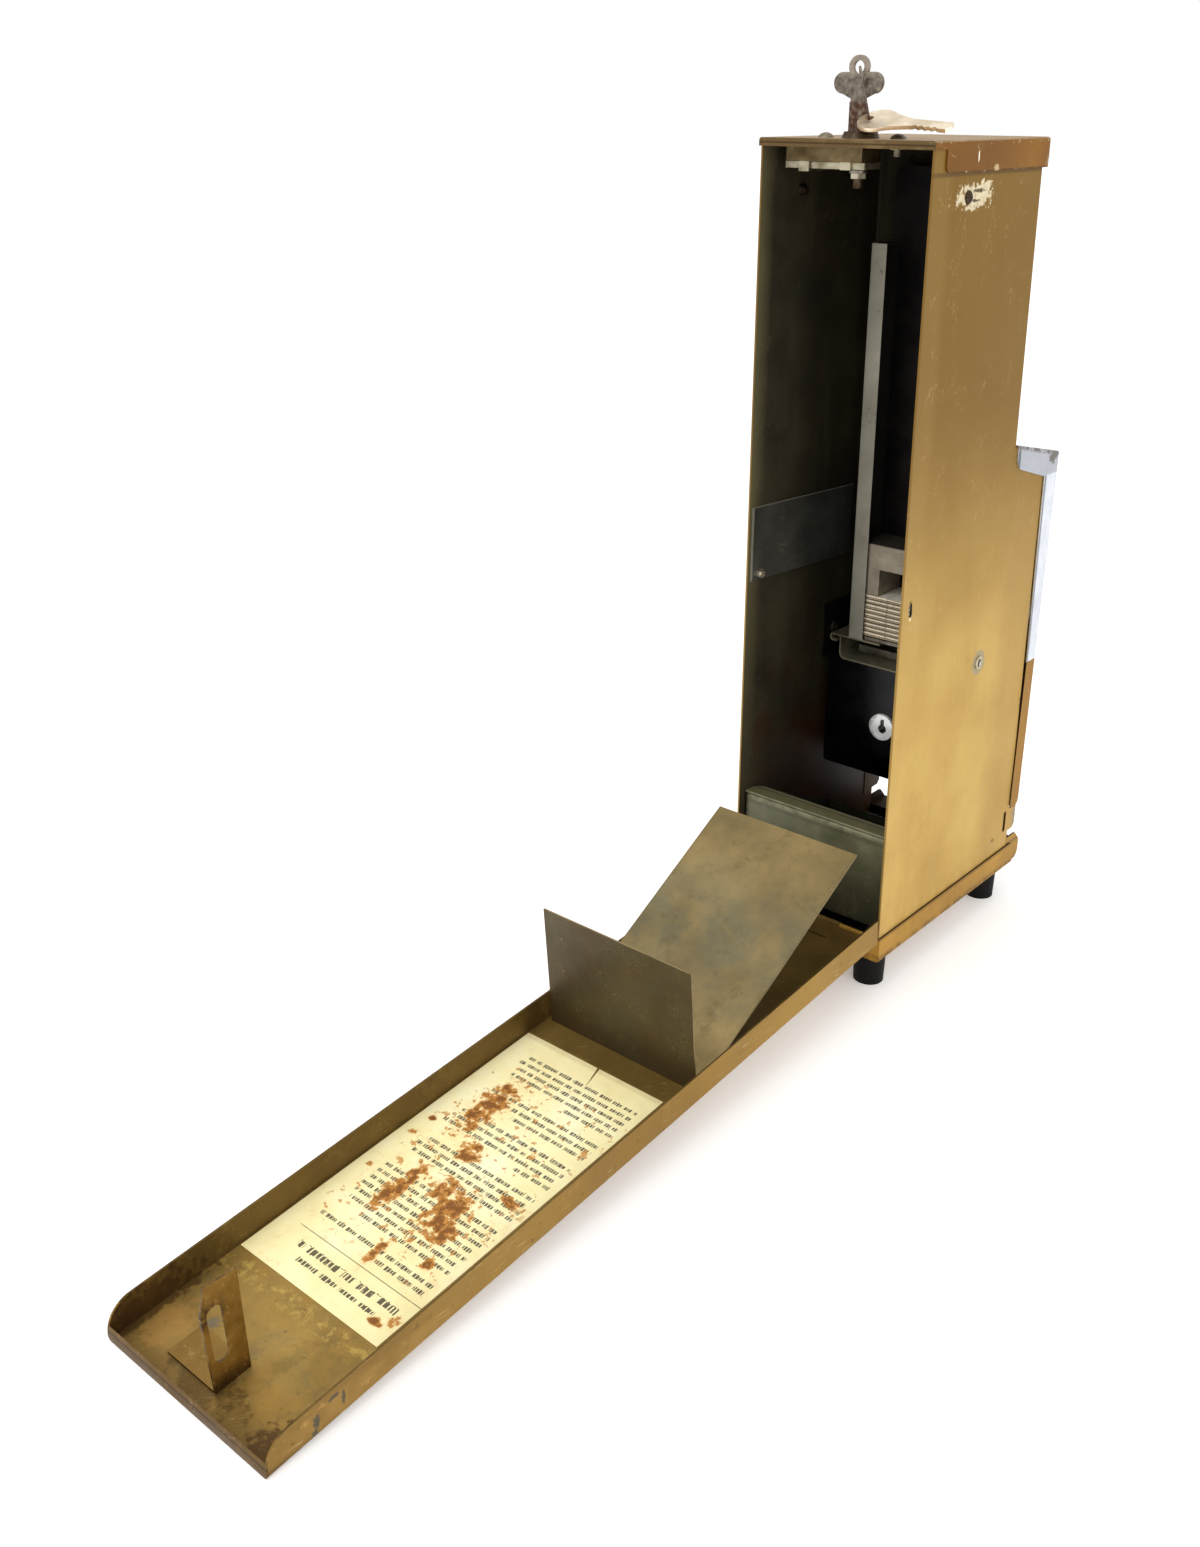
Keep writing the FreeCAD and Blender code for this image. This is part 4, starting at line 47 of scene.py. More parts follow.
SEED_STEP = 40.0    # how far apart in millimetres two seeds take their patches from


# ---------------- places, in millimetres
# x runs across the machine, y towards the open door and z up, as in the model.
def corners(node):
    """The lowest and highest corners of a node."""
    return [Vector(corner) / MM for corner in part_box(node)]


def middle(node):
    """The middle of a node's box."""
    low, high = corners(node)
    return (low + high) / 2


SHELL_LOW, SHELL_HIGH = corners("housing_shell")
CAP_LOW, CAP_HIGH = corners("top_cap")
BASE_LOW, BASE_HIGH = corners("base_pan")
SIDE = SHELL_LOW.x
REAR = SHELL_HIGH.y
HOOD_SIDE = corners("chrome_hood")[0].x
DOOR_SIDE = corners("door_pan")[0].x
DOOR_TIP = corners("door_pan")[1].y
RIVET = middle("side_rivets")
CARD_PITCH = 2.88        # how far apart the folders of cards lie
STACK_Z = 182.8          # where the lowest folder of cards starts
HINGE_Y = 88.66          # where lengths along the door are counted from
DOOR_STRETCH = 1.0037    # the door slopes, so a length along it is a little more than its reach in y


# ---------------- shader helpers
def linear(hex_colour):
    """An sRGB hex colour as the linear red, green, blue and alpha that a socket takes."""
    channels = [int(hex_colour[i:i + 2], 16) / 255 for i in (1, 3, 5)]
    return [c / 12.92 if c <= 0.04045 else ((c + 0.055) / 1.055) ** 2.4 for c in channels] + [1.0]


class Finish:
    """One material being made: its tree, its shader, and its place on the object in millimetres."""

    def __init__(self, name, **fixed):
        self.material = bpy.data.materials.new(name)
        self.material.use_nodes = True
        self.tree = self.material.node_tree
        self.tree.nodes.clear()
        settings = {socket.replace("_", " "): value for socket, value in fixed.items()}
        self.shader = self.add("BsdfPrincipled", settings, give=None)
        self.add("OutputMaterial", {"Surface": self.shader.outputs[0]}, give=None)
        coordinates = self.add("TexCoord", give=None)
        self.normal = coordinates.outputs["Normal"]
        self.place = self.add("VectorMath", {0: coordinates.outputs["Object"], "Scale": 1 / MM},
                              operation="SCALE")
        apart = self.add("SeparateXYZ", {0: self.place}, give=None)
        self.x, self.y, self.z = apart.outputs[:3]

    def add(self, kind, inputs=None, stops=None, give=0, **settings):
        """Add one node with its settings, its sockets as values or links and its ramp's stops.

        A socket goes by its number where a node has several of one name: 0, 1 and 2 on a Math node,
        and 6 and 7 for the two colours of a Mix. On a Map Range, 1 and 2 are the range read and 3
        and 4 the range given. The answer is the output asked for, or the node where give is None.
        """
        node = self.tree.nodes.new("ShaderNode" + kind)
        for name, value in settings.items():
            setattr(node, name, value)
        for name, value in (inputs or {}).items():
            socket = node.inputs[name]
            if isinstance(value, bpy.types.NodeSocket):
                self.tree.links.new(value, socket)
            else:
                socket.default_value = linear(value) if isinstance(value, str) else value
        if stops:
            ramp = node.color_ramp
            while len(ramp.elements) < len(stops):
                ramp.elements.new(1.0)
            for element, (position, colour) in zip(ramp.elements, stops):
                element.position = position
                element.color = linear(colour)
        return node if give is None else node.outputs[give]

    def wire(self, **sockets):
        """Link outputs to the shader's own sockets, such as Base_Color or Roughness."""
        for name, value in sockets.items():
            self.tree.links.new(value, self.shader.inputs[name.replace("_", " ")])
        return self.material


# ---------------- patterns that the finishes share
def clouding(f, size, low=0.35, high=0.65, detail=3.0, rough=0.55, drawn=None, seed=0.0):
    """Slow drift of tone, 0..1, with patches of a size in millimetres, or drawn out along an axis."""
    place = f.place
    if seed:
        place = f.add("Mapping", {"Vector": place, "Location": [seed * SEED_STEP] * 3})
    if drawn:
        place = f.add("VectorMath", {0: place, 1: drawn}, operation="DIVIDE")
    patches = f.add("TexNoise", {"Vector": place, "Scale": 1 / size, "Detail": detail, "Roughness": rough})
    return f.add("MapRange", {0: patches, 1: low, 2: high})


def scratches(f, drawn, turn, width=0.012, sparse=0.52):
    """Hairline scratches: the places where a long drawn-out drift of tone crosses its middle.

    They come out up to 0.1 mm wide, coarser than real hairlines, so that they show.
    """
    place = f.add("Mapping", {"Vector": f.place, "Rotation": turn}, vector_type="TEXTURE")
    place = f.add("VectorMath", {0: place, 1: drawn}, operation="DIVIDE")
    drift = f.add("TexNoise", {"Vector": place, "Scale": 1.0, "Detail": 1.0})
    from_middle = f.add("Math", {0: drift, 1: 0.5}, operation="SUBTRACT")
    away = f.add("Math", {0: from_middle}, operation="ABSOLUTE")
    line = f.add("MapRange", {0: away, 1: 0.0, 2: width, 3: 1.0, 4: 0.0})
    return both(f, line, clouding(f, 16.0, sparse, sparse + 0.08, 2.0, 0.5))


def ground(f, tone, *tints):
    """Even steps of tint, from the darkest to the lightest tone."""
    stops = [(number / (len(tints) - 1), tint) for number, tint in enumerate(tints)]
    return f.add("ValToRGB", {0: tone}, stops)


def coats(f, base, *layers):
    """Lay tints over a base one after another, each with its share and its strength."""
    for share, strength, tint in layers:
        part = f.add("Math", {0: share, 1: strength}, operation="MULTIPLY")
        base = f.add("Mix", {0: part, 6: base, 7: tint}, give=2, data_type="RGBA")
    return base


def both(f, *shares):
    """Where every one of several shares holds."""
    whole = shares[0]
    for share in shares[1:]:
        whole = f.add("Math", {0: whole, 1: share}, operation="MULTIPLY")
    return whole


def either(f, *shares):
    """Where any one of several shares holds."""
    whole = shares[0]
    for share in shares[1:]:
        whole = f.add("Math", {0: whole, 1: share}, operation="MAXIMUM")
    return whole


def strip(f, value, low, high, soft=0.5):
    """1 where a value lies between low and high, falling to 0 over a soft margin."""
    rise = f.add("MapRange", {0: value, 1: low - soft, 2: low + soft})
    fall = f.add("MapRange", {0: value, 1: high - soft, 2: high + soft, 3: 1.0, 4: 0.0})
    return both(f, rise, fall)


def patch(f, centre, sizes, ragged=0.0, grain=3.0, soft=0.2):
    """1 inside an ellipsoid about a centre, its edge ragged by a share of its size, in grains."""
    away = f.add("VectorMath", {0: f.place, 1: centre}, operation="SUBTRACT")
    away = f.add("VectorMath", {0: away, 1: sizes}, operation="DIVIDE")
    reach = f.add("VectorMath", {0: away}, give=1, operation="LENGTH")
    if ragged:
        rough = clouding(f, grain, 0.3, 0.7, 3.0, 0.65)
        rough = f.add("Math", {0: rough, 1: 2 * ragged, 2: -ragged}, operation="MULTIPLY_ADD")
        reach = f.add("Math", {0: reach, 1: rough}, operation="ADD")
    return f.add("MapRange", {0: reach, 1: 1 - soft, 2: 1 + soft, 3: 1.0, 4: 0.0})


def side_patches(f, side, soft, *patches):
    """Where any one of several ragged patches on a side panel holds: each y, z, its sizes and edge."""
    return either(f, *[patch(f, (side, y, z), sizes, ragged, grain, soft)
                       for y, z, sizes, ragged, grain in patches])


def outward(f, centre):
    """1 on faces that look away from a middle point, 0 on those that look towards it."""
    away = f.add("VectorMath", {0: f.place, 1: centre}, operation="SUBTRACT")
    facing = f.add("VectorMath", {0: away, 1: f.normal}, give=1, operation="DOT_PRODUCT")
    return f.add("Math", {0: facing, 1: 0.0}, operation="GREATER_THAN")


def looking(f, way):
    """1 on faces that look along a direction, 0 on those side-on to it or turned away."""
    facing = f.add("VectorMath", {0: f.normal, 1: way}, give=1, operation="DOT_PRODUCT")
    return f.add("MapRange", {0: facing, 1: 0.3, 2: 0.7})


def surface(f, base, share, smooth, rough, height, depth, **more):
    """Wire a finish up: its colour, a roughness that follows a share, and relief of a depth in mm.

    The relief's grain, about a millimetre across, is as fine as sprayed paint's; on plating it is
    drawn coarser than real, so that it shows.
    """
    roughness = f.add("MapRange", {0: share, 3: smooth, 4: rough})
    relief = f.add("Bump", {"Height": height, "Distance": depth * MM, "Strength": 1.0})
    return f.wire(Base_Color=base, Roughness=roughness, Normal=relief, **more)


def gold_coat(f, *tints):
    """Sprayed gold: slow clouding 60 mm wide, faint upright wiping, flake and pin-point dirt.

    Real bronze flake is a few hundredths of a millimetre; it is drawn at 0.5 mm, so that it shows.
    """
    cloud = clouding(f, 60.0, 0.3, 0.7, 3.0, 0.5)
    wiping = clouding(f, 1.0, 0.3, 0.7, 3.0, 0.55, drawn=(7.0, 7.0, 110.0))
    flake = clouding(f, 0.5, 0.3, 0.7, 1.0, 0.5)
    tone = f.add("Math", {0: cloud, 1: 0.75}, operation="MULTIPLY")
    for part, weight in ((wiping, 0.1), (flake, 0.15)):
        tone = f.add("Math", {0: part, 1: weight, 2: tone}, operation="MULTIPLY_ADD")
    dirt = clouding(f, 1.3, 0.7, 0.76, 2.0, 0.6)
    return coats(f, ground(f, tone, *tints), (dirt, 0.45, "#6E5124")), tone


# ---------------- finishes
def cap_enamel():
    """The cap's gold enamel, the most handled: browner, rubbed grey on top and chipped at its rim, with a
    painted shadow line along the rim and painted shade in the fold of its rear lip.
    """
    f = Finish("handled_gold_enamel_cap", Metallic=0.35, Specular_IOR_Level=0.06)
    base, tone = gold_coat(f, "#6C4716", "#7A501B", "#8D6228")
    on_top = strip(f, f.z, CAP_HIGH.z - 0.7, OUT, 0.3)
    rubbed = clouding(f, 11.0, 0.46, 0.66, 4.0, 0.65, drawn=(1.0, 2.4, 1.0))
    rear_lip = both(f, looking(f, (0, 1, 0)), strip(f, f.y, CAP_HIGH.y - 1.4, OUT, 0.3))
    # Painted shade in the fold of the rear lip.
    lip_fold_shade = strip(f, f.z, CAP_HIGH.z - 2.7, CAP_HIGH.z - 1.9, 0.25)
    # A band along the lower rim: a painted shadow line, and the place where chips fall.
    rim = strip(f, f.z, CAP_LOW.z - 0.6, CAP_LOW.z + 0.7, 0.25)
    top_edge = strip(f, f.z, CAP_HIGH.z - 2.3, CAP_HIGH.z - 0.5, 0.3)
    chips = both(f, either(f, rim, top_edge), clouding(f, 3.4, 0.6, 0.66, 3.0, 0.6, seed=7.0))
    corner = patch(f, (CAP_LOW.x - 0.1, -36.5, 452.0), (3.0, 5.0, 5.0), 0.4, 2.0)
    nick = patch(f, (CAP_LOW.x - 0.3, 43.5, 457.9), (1.0, 0.7, 2.9), 0.3, 1.0)
    rim_chip = patch(f, (CAP_LOW.x - 0.3, 24.0, 452.0), (1.0, 2.6, 1.6), 0.5, 1.0)
    base = coats(f, base,
                 (on_top, 0.6, "#A68C64"),
                 (both(f, on_top, rubbed), 0.5, "#B49A6E"),
                 (rear_lip, 0.9, "#5E4D34"),
                 (both(f, rear_lip, clouding(f, 9.0, 0.5, 0.66)), 0.5, "#7E6A4A"),
                 (rim, 0.7, "#4B3719"),
                 (both(f, chips, strip(f, f.x, -OUT, SIDE, 0.2)), 0.7, "#B9A988"),
                 (both(f, rear_lip, lip_fold_shade), 0.7, "#2F2413"),
                 (corner, 0.8, "#A79A84"),
                 (nick, 0.95, "#F4EAD2"),
                 (rim_chip, 0.7, "#D2BC8E"),
                 (scratches(f, (3.0, 50.0, 2.5), (0.35, 0, 0)), 0.4, "#C2A877"))
    return surface(f, base, tone, 0.36, 0.52, clouding(f, 1.2), 0.04)


def housing_outside(f):
    """The housing's gold: darker towards the top as painted shade, chipped round a screw, its low corner worn
    grey, with a faint painted highlight band by its rear edge, a painted shadow line under the cap and its
    keyhole painted as shade.
    """
    gold, _ = gold_coat(f, "#B08C46", "#BE9B52", "#CBA95F")
    # Painted shade, growing darker towards the top.
    rise = f.add("MapRange", {0: f.z, 1: 145.0, 2: 345.0}, interpolation_type="SMOOTHSTEP")
    lower_front = both(f, strip(f, f.y, -90.0, -30.0, 10.0), strip(f, f.z, 20.0, 260.0, 20.0))
    smudge = clouding(f, 20.0, 0.55, 0.75, 4.0, 0.7, seed=5.0)
    bare = side_patches(f, SIDE, 0.1, (44.0, 438.5, (4.0, 17.0, 5.6), 0.55, 4.0),
                        (33.0, 442.5, (4.0, 6.5, 3.6), 0.6, 3.0))
    scrapes = side_patches(f, SIDE, 0.2, (49.8, 439.4, (4.0, 3.6, 2.4), 0.4, 2.0),
                           (39.0, 441.5, (4.0, 6.0, 0.9), 0.5, 2.0),
                           (42.0, 436.8, (4.0, 4.0, 0.7), 0.6, 2.0))
    worn_corner = patch(f, (SIDE, -77.0, 54.0), (4.0, 5.0, 9.5), 0.5, 3.0)
    # The keyhole slot, painted near black as the shade inside its opening.
    keyhole_shade = side_patches(f, SIDE, 0.2, (76.6, 232.4, (3.0, 1.1, 1.8), 0.0, 3.0),
                           (76.5, 229.0, (3.0, 1.4, 2.9), 0.0, 3.0))
    key_chip = patch(f, (SIDE, 76.7, 225.4), (3.0, 1.0, 1.0), 0.4, 1.0)
    bare_ring = patch(f, (SIDE, RIVET.y, RIVET.z), (4.0, 7.6, 7.4), 0.14, 2.0, 0.06)
    nicks = side_patches(f, SIDE, 0.2, (-48.0, 47.8, (3.0, 2.2, 1.4), 0.6, 1.0),
                         (-68.5, 134.0, (3.0, 1.6, 6.0), 0.6, 2.0))
    # Painted shadow line under the cap's flange.
    shadow_under_cap = strip(f, f.z, CAP_LOW.z - 1.7, CAP_LOW.z + 0.4, 0.5)
    foot_dirt = both(f, strip(f, f.z, 20.0, 44.0, 8.0), clouding(f, 12.0, 0.45, 0.7, 4.0, 0.7))
    gold = coats(f, gold,
                 (rise, 0.9, "#705114"),
                 (lower_front, 0.35, "#9A7840"),
                 # Painted highlight: a faint light band by the rear edge.
                 (strip(f, f.y, 68.0, 92.0, 4.0), 0.05, "#E2BE80"),
                 (smudge, 0.2, "#8A672F"),
                 (foot_dirt, 0.3, "#7C5C2C"),
                 (scratches(f, (3.0, 3.0, 60.0), (0.3, 0.2, 0)), 0.3, "#DCC089"),
                 (bare_ring, 0.9, "#9C9070"),
                 (nicks, 0.6, "#5E4524"),
                 (worn_corner, 0.8, "#978C78"),
                 (both(f, worn_corner, clouding(f, 2.0, 0.5, 0.62)), 0.6, "#5F564A"),
                 (key_chip, 0.9, "#EADBB4"),
                 (shadow_under_cap, 0.55, "#4A3616"),
                 (strip(f, f.y, REAR - 0.8, REAR + 1.0, 0.2), 0.5, "#6B5026"),
                 (bare, 1.0, "#D3C6A6"),
                 (both(f, bare, clouding(f, 2.4, 0.5, 0.62, 4.0, 0.7)), 0.7, "#A08A62"),
                 (both(f, bare, scrapes), 0.9, "#3F3222"),
                 (keyhole_shade, 1.0, "#120D08"))
    return gold, bare


def housing_inside(f):
    """The housing's inner face: thin smoky brown paint drawn darker as painted shade, redder low down and
    lighter by the open edge as painted light.
    """
    haze = clouding(f, 60.0, 0.3, 0.7, 5.0, 0.6)
    # Painted light, growing towards the open rear.
    rear = f.add("MapRange", {0: f.y, 1: 30.0, 2: 88.0})
    low_brown = both(f, strip(f, f.z, 20.0, 175.0, 30.0), clouding(f, 26.0, 0.45, 0.7, seed=11.0))
    low_front = both(f, strip(f, f.z, 20.0, 130.0, 14.0), strip(f, f.y, -90.0, 30.0, 20.0))
    # Painted light by the open edge.
    open_edge_light = both(f, strip(f, f.y, 80.0, 92.0, 7.0), strip(f, f.z, 150.0, 470.0, 60.0))
    runs = clouding(f, 1.0, 0.52, 0.7, 3.0, 0.6, drawn=(14.0, 14.0, 90.0), seed=2.0)
    # The base tints are drawn darker than the paint, as painted shade of the closed interior.
    return coats(f, ground(f, haze, "#25221A", "#302B1F", "#3E3828"),
                 (both(f, rear, clouding(f, 30.0, 0.3, 0.62)), 0.5, "#4A4534"),
                 (low_brown, 0.5, "#3E2310"),
                 (low_front, 0.6, "#4A2812"),
                 (open_edge_light, 0.6, "#7A7250"),
                 (runs, 0.35, "#43402F"),
                 (scratches(f, (3.0, 3.0, 60.0), (0.5, 0.2, 0), 0.008), 0.4, "#6A634C"))


def housing_enamel():
    """Gold enamel on the housing's outer face, thin dark brown paint over steel on its inner one, drawn
    darker as painted shade.
    """
    f = Finish("gold_outside_brown_inside_painted_shade", Specular_IOR_Level=0.1)
    gold, bare = housing_outside(f)
    outside = outward(f, (0.0, 15.0, 240.0))
    base = coats(f, housing_inside(f), (outside, 1.0, gold))
    matt = f.add("MapRange", {0: bare, 3: 0.46, 4: 0.7})
    metal = both(f, outside, f.add("MapRange", {0: bare, 3: 0.3, 4: 0.0}))
    relief = f.add("Math", {0: bare, 1: -0.9, 2: clouding(f, 0.8)}, operation="MULTIPLY_ADD")
    return surface(f, base, outside, 0.42, matt, relief, 0.04, Metallic=metal)


def gold_over_brown(f, gold, tone, centre, roughest, grain):
    """Gold outside and bare brown primer inside, for a folded piece about a middle point."""
    outside = outward(f, centre)
    metal = f.add("MapRange", {0: outside, 4: 0.35})
    base = coats(f, "#2A1B0E", (outside, 1.0, gold))
    return surface(f, base, tone, 0.42, roughest, clouding(f, grain), 0.03, Metallic=metal)


def base_enamel():
    """The base pan's gold enamel: warm below the side panel, dull brown where the counter rubbed it."""
    f = Finish("rubbed_gold_enamel_base", Specular_IOR_Level=0.06)
    gold, tone = gold_coat(f, "#936D2E", "#AB833A", "#BF9547")
    rubbed = both(f, strip(f, f.z, -OUT, BASE_LOW.z + 3.8, 1.4), clouding(f, 6.0, 0.35, 0.6, 4.0, 0.65))
    seam = strip(f, f.z, BASE_HIGH.z - 1.4, BASE_HIGH.z + 1.0, 0.4)
    gold = coats(f, gold, (rubbed, 0.75, "#5D4522"), (seam, 0.6, "#5A4220"),
                 (strip(f, f.y, -90.0, -60.0, 8.0), 0.3, "#8B6B38"),
                 (clouding(f, 15.0, 0.55, 0.72, 4.0, 0.7, seed=4.0), 0.4, "#7C5A2B"))
    return gold_over_brown(f, gold, tone, (0.0, 5.0, 60.0), 0.56, 0.9)


def cover_enamel():
    """The lower cover's gold enamel, worn through to grey metal at its rounded end."""
    f = Finish("worn_gold_enamel_cover", Specular_IOR_Level=0.06)
    gold, tone = gold_coat(f, "#8A632C", "#99702F", "#AB803D")
    bare = patch(f, (SIDE, -78.5, 62.0), (6.0, 3.0, 2.4), 0.35, 3.0)
    rail = strip(f, f.y, -82.0, -79.6, 0.3)
    gold = coats(f, gold, (rail, 0.4, "#7A5C30"), (bare, 0.9, "#8D8678"),
                 (both(f, bare, clouding(f, 2.0, 0.5, 0.6)), 0.7, "#5A4C38"),
                 (scratches(f, (3.0, 3.0, 50.0), (0.2, 0.2, 0)), 0.5, "#E0C894"))
    return gold_over_brown(f, gold, tone, (0.0, -40.0, 110.0), 0.54, 0.8)


def door_outside(f, towards_tip):
    """The door's outer gold: browner and more scuffed towards its tip, dented through to grey there."""
    gold, _ = gold_coat(f, "#7E5E24", "#8F6E2C", "#A07E39")
    scuffed = clouding(f, 7.0, 0.6, 0.64, 5.0, 0.7, drawn=(1.0, 2.2, 0.8))
    dents = side_patches(f, DOOR_SIDE, 0.2, (493.9, 9.6, (4.0, 1.5, 3.6), 0.5, 1.5),
                         (495.2, 5.0, (4.0, 1.4, 1.4), 0.5, 1.5),
                         (485.0, 15.0, (4.0, 2.6, 1.0), 0.5, 1.5),
                         (480.5, 11.6, (4.0, 1.0, 3.0), 0.5, 1.5))
    tip_face = strip(f, f.y, DOOR_TIP - 1.0, OUT, 0.3)
    brassy = both(f, strip(f, f.y, 420.0, 508.0, 14.0), strip(f, f.z, 5.0, 16.0, 2.0))
    low_edge = strip(f, f.z, 1.0, 3.6, 0.6)
    return coats(f, gold, (towards_tip, 0.5, "#6B5026"),
                 (both(f, brassy, clouding(f, 12.0, 0.35, 0.6)), 0.6, "#9C7A3A"),
                 (both(f, scuffed, towards_tip), 0.5, "#B98F49"),
                 (low_edge, 0.5, "#4A3514"),
                 (both(f, tip_face, strip(f, f.z, -OUT, 9.0, 0.4)), 0.6, "#4C371A"),
                 (both(f, tip_face, strip(f, f.z, 4.4, 5.4, 0.3)), 0.8, "#2C1D0B"),
                 (clouding(f, 4.0, 0.63, 0.68, 4.0, 0.7, seed=9.0), 0.5, "#57401D"),
                 (dents, 0.9, "#4A4639"),
                 (scratches(f, (3.0, 70.0, 2.5), (0.06, 0, 0)), 0.5, "#C9AE78"))


def door_inside(f, cloud, towards_tip):
    """The door's inner face: olive-gold, brown on its flanges, rusty in the corners by the hasp, darker under
    the baffle as painted shade.
    """
    wall = DOOR_SIDE + 1.7
    flange = either(f, strip(f, f.x, -wall, OUT, 0.2), strip(f, f.x, -OUT, wall, 0.2))
    rubbed_gold = both(f, clouding(f, 17.0, 0.5, 0.62, 5.0, 0.68, seed=1.0), towards_tip)
    grey_bloom = both(f, clouding(f, 22.0, 0.55, 0.7, 4.0, 0.6, seed=8.0), towards_tip)
    freckles = clouding(f, 2.2, 0.64, 0.7, 3.0, 0.7)
    corner_rust = either(f, patch(f, (-49.0, 512.0, 3.0), (14.0, 16.0, 12.0), 0.5, 3.0),
                         patch(f, (50.0, 500.0, 6.0), (3.0, 30.0, 12.0), 0.5, 4.0))
    by_hasp = patch(f, (2.0, 508.0, 4.0), (24.0, 10.0, 3.0), 0.45, 5.0)
    brass_spot = patch(f, (39.0, 498.0, 3.0), (9.0, 12.0, 3.0), 0.5, 5.0)
    olive_spot = patch(f, (-17.0, 474.0, 3.0), (5.0, 17.0, 3.0), 0.5, 6.0)
    blue_spot = patch(f, (24.1, 486.0, 3.0), (3.0, 3.0, 3.0), 0.5, 2.0)
    under_label = both(f, strip(f, f.y, 455.0, 464.0, 2.0), clouding(f, 5.0, 0.5, 0.6, 4.0, 0.7))
    return coats(f, ground(f, cloud, "#7F6836", "#94783F", "#A78848"),
                 (grey_bloom, 0.5, "#6E694C"),
                 (rubbed_gold, 0.42, "#AE843C"),
                 (under_label, 0.7, "#C0A254"),
                 # Painted shade on the door's floor under the baffle.
                 (strip(f, f.y, 80.0, 268.0, 3.0), 0.6, "#4E3A18"),
                 (freckles, 0.5, "#4A3818"),
                 (strip(f, f.y, 505.0, 520.0, 5.0), 0.5, "#5E4520"),
                 (flange, 0.72, "#4B3819"),
                 (both(f, flange, clouding(f, 8.0, 0.55, 0.66, seed=6.0)), 0.4, "#7D6230"),
                 (corner_rust, 0.7, "#402815"),
                 (by_hasp, 0.55, "#3F2E16"),
                 (brass_spot, 0.35, "#B98848"),
                 (olive_spot, 0.3, "#5E5630"),
                 (blue_spot, 0.4, "#55606A"),
                 (scratches(f, (60.0, 2.0, 2.0), (0, 0, 0.8), 0.008), 0.5, "#BFA364"))


def door_enamel():
    """The door's thin gold coat: olive-gold and rubbed inside, scuffed outside."""
    f = Finish("worn_gold_brown_enamel", Specular_IOR_Level=0.15)
    towards_tip = f.add("MapRange", {0: f.y, 1: 250.0, 2: 515.0})
    cloud = clouding(f, 30.0, 0.32, 0.68, 5.0, 0.6)
    outside = outward(f, (0.0, 300.0, 140.0))
    base = coats(f, door_inside(f, cloud, towards_tip), (outside, 1.0, door_outside(f, towards_tip)))
    metal = f.add("MapRange", {0: outside, 3: 0.35, 4: 0.3})
    return surface(f, base, cloud, 0.36, 0.52, clouding(f, 0.9), 0.03, Metallic=metal)


def hasp_finish():
    """The hasp's bronze-brown lacquer, burnt dark at its foot and at its bent corner."""
    f = Finish("browned_steel_hasp", Metallic=0.5, Specular_IOR_Level=0.3)
    base = ground(f, clouding(f, 14.0, 0.3, 0.7, 4.0), "#6B4C1A", "#825F24", "#997434")
    leg = both(f, looking(f, (0, 0, 1)), strip(f, f.z, 0.0, 6.0, 0.3))
    foot = f.add("MapRange", {0: f.z, 1: 4.4, 2: 12.0, 3: 1.0, 4: 0.0})
    foot = both(f, foot, f.add("Math", {0: 1.0, 1: leg}, operation="SUBTRACT"))
    thickness = either(f, looking(f, (0, 1, 0)), looking(f, (0, 0, 1)))
    thickness = both(f, thickness, strip(f, f.z, 8.0, 80.0, 2.0))
    leg_edge = both(f, leg, either(f, strip(f, f.y, 508.4, 520.0, 0.5), strip(f, f.x, -20.0, -7.0, 1.0)))
    head = both(f, strip(f, f.z, 36.0, 46.0, 3.0), strip(f, f.y, 500.0, 520.0, 3.0))
    base = coats(f, base, (foot, 0.8, "#2E1C0C"), (leg, 0.5, "#8E7036"), (leg_edge, 0.8, "#38220F"),
                 (both(f, thickness, clouding(f, 6.0, 0.3, 0.55, seed=3.0)), 0.7, "#3A2C1A"),
                 (both(f, head, clouding(f, 3.0, 0.4, 0.55)), 0.8, "#2C241A"),
                 (clouding(f, 3.0, 0.6, 0.68, 3.0, seed=4.0), 0.5, "#A98B4E"),
                 (scratches(f, (2.0, 2.0, 30.0), (0.3, 0.2, 0)), 0.5, "#B99B62"))
    return surface(f, base, clouding(f, 6.0), 0.34, 0.5, clouding(f, 1.2), 0.03)


def bronze_sheet():
    """Lacquered mild-steel sheet gone bronze: cloudy brown, a blue-green bloom and dark rubbed marks."""
    f = Finish("tarnished_bronze_sheet", Metallic=0.5, Specular_IOR_Level=0.35)
    high = corners("door_baffle")[1]
    side = high.x - 2.3
    cloud = clouding(f, 34.0, 0.3, 0.7, 5.0, 0.6)
    upper = strip(f, f.y, 90.0, 150.0, 18.0)
    bloom = both(f, strip(f, f.y, 150.0, 205.0, 20.0), clouding(f, 26.0, 0.35, 0.62, 4.0, 0.6, seed=5.0))
    front_leaf = both(f, strip(f, f.y, high.y - 11.9, OUT, 1.0), looking(f, (0, 1, 0)))
    leaf_top = both(f, front_leaf, strip(f, f.z, high.z - 3.4, OUT, 0.8))
    rim = either(f, strip(f, f.x, side, OUT, 0.6), strip(f, f.x, -OUT, -side, 0.6))
    base = coats(f, ground(f, cloud, "#6E5F3D", "#857248", "#9C8657"),
                 (upper, 0.2, "#8E794C"),
                 (bloom, 0.6, "#5C6150"),
                 (clouding(f, 12.0, 0.56, 0.7, 4.0, 0.7, seed=2.0), 0.35, "#4C3E22"),
                 (front_leaf, 0.85, "#40341F"),
                 (both(f, front_leaf, clouding(f, 30.0, 0.4, 0.65, 4.0, 0.6, seed=9.0)), 0.45, "#565340"),
                 (leaf_top, 0.5, "#7A5C2A"),
                 (rim, 0.25, "#4E4023"),
                 (clouding(f, 2.0, 0.68, 0.74, 3.0), 0.5, "#3A2E18"),
                 (scratches(f, (2.0, 60.0, 2.0), (0.5, 0, 0.35), 0.007), 0.6, "#B7A575"))
    return surface(f, base, cloud, 0.48, 0.34, clouding(f, 1.1), 0.02)


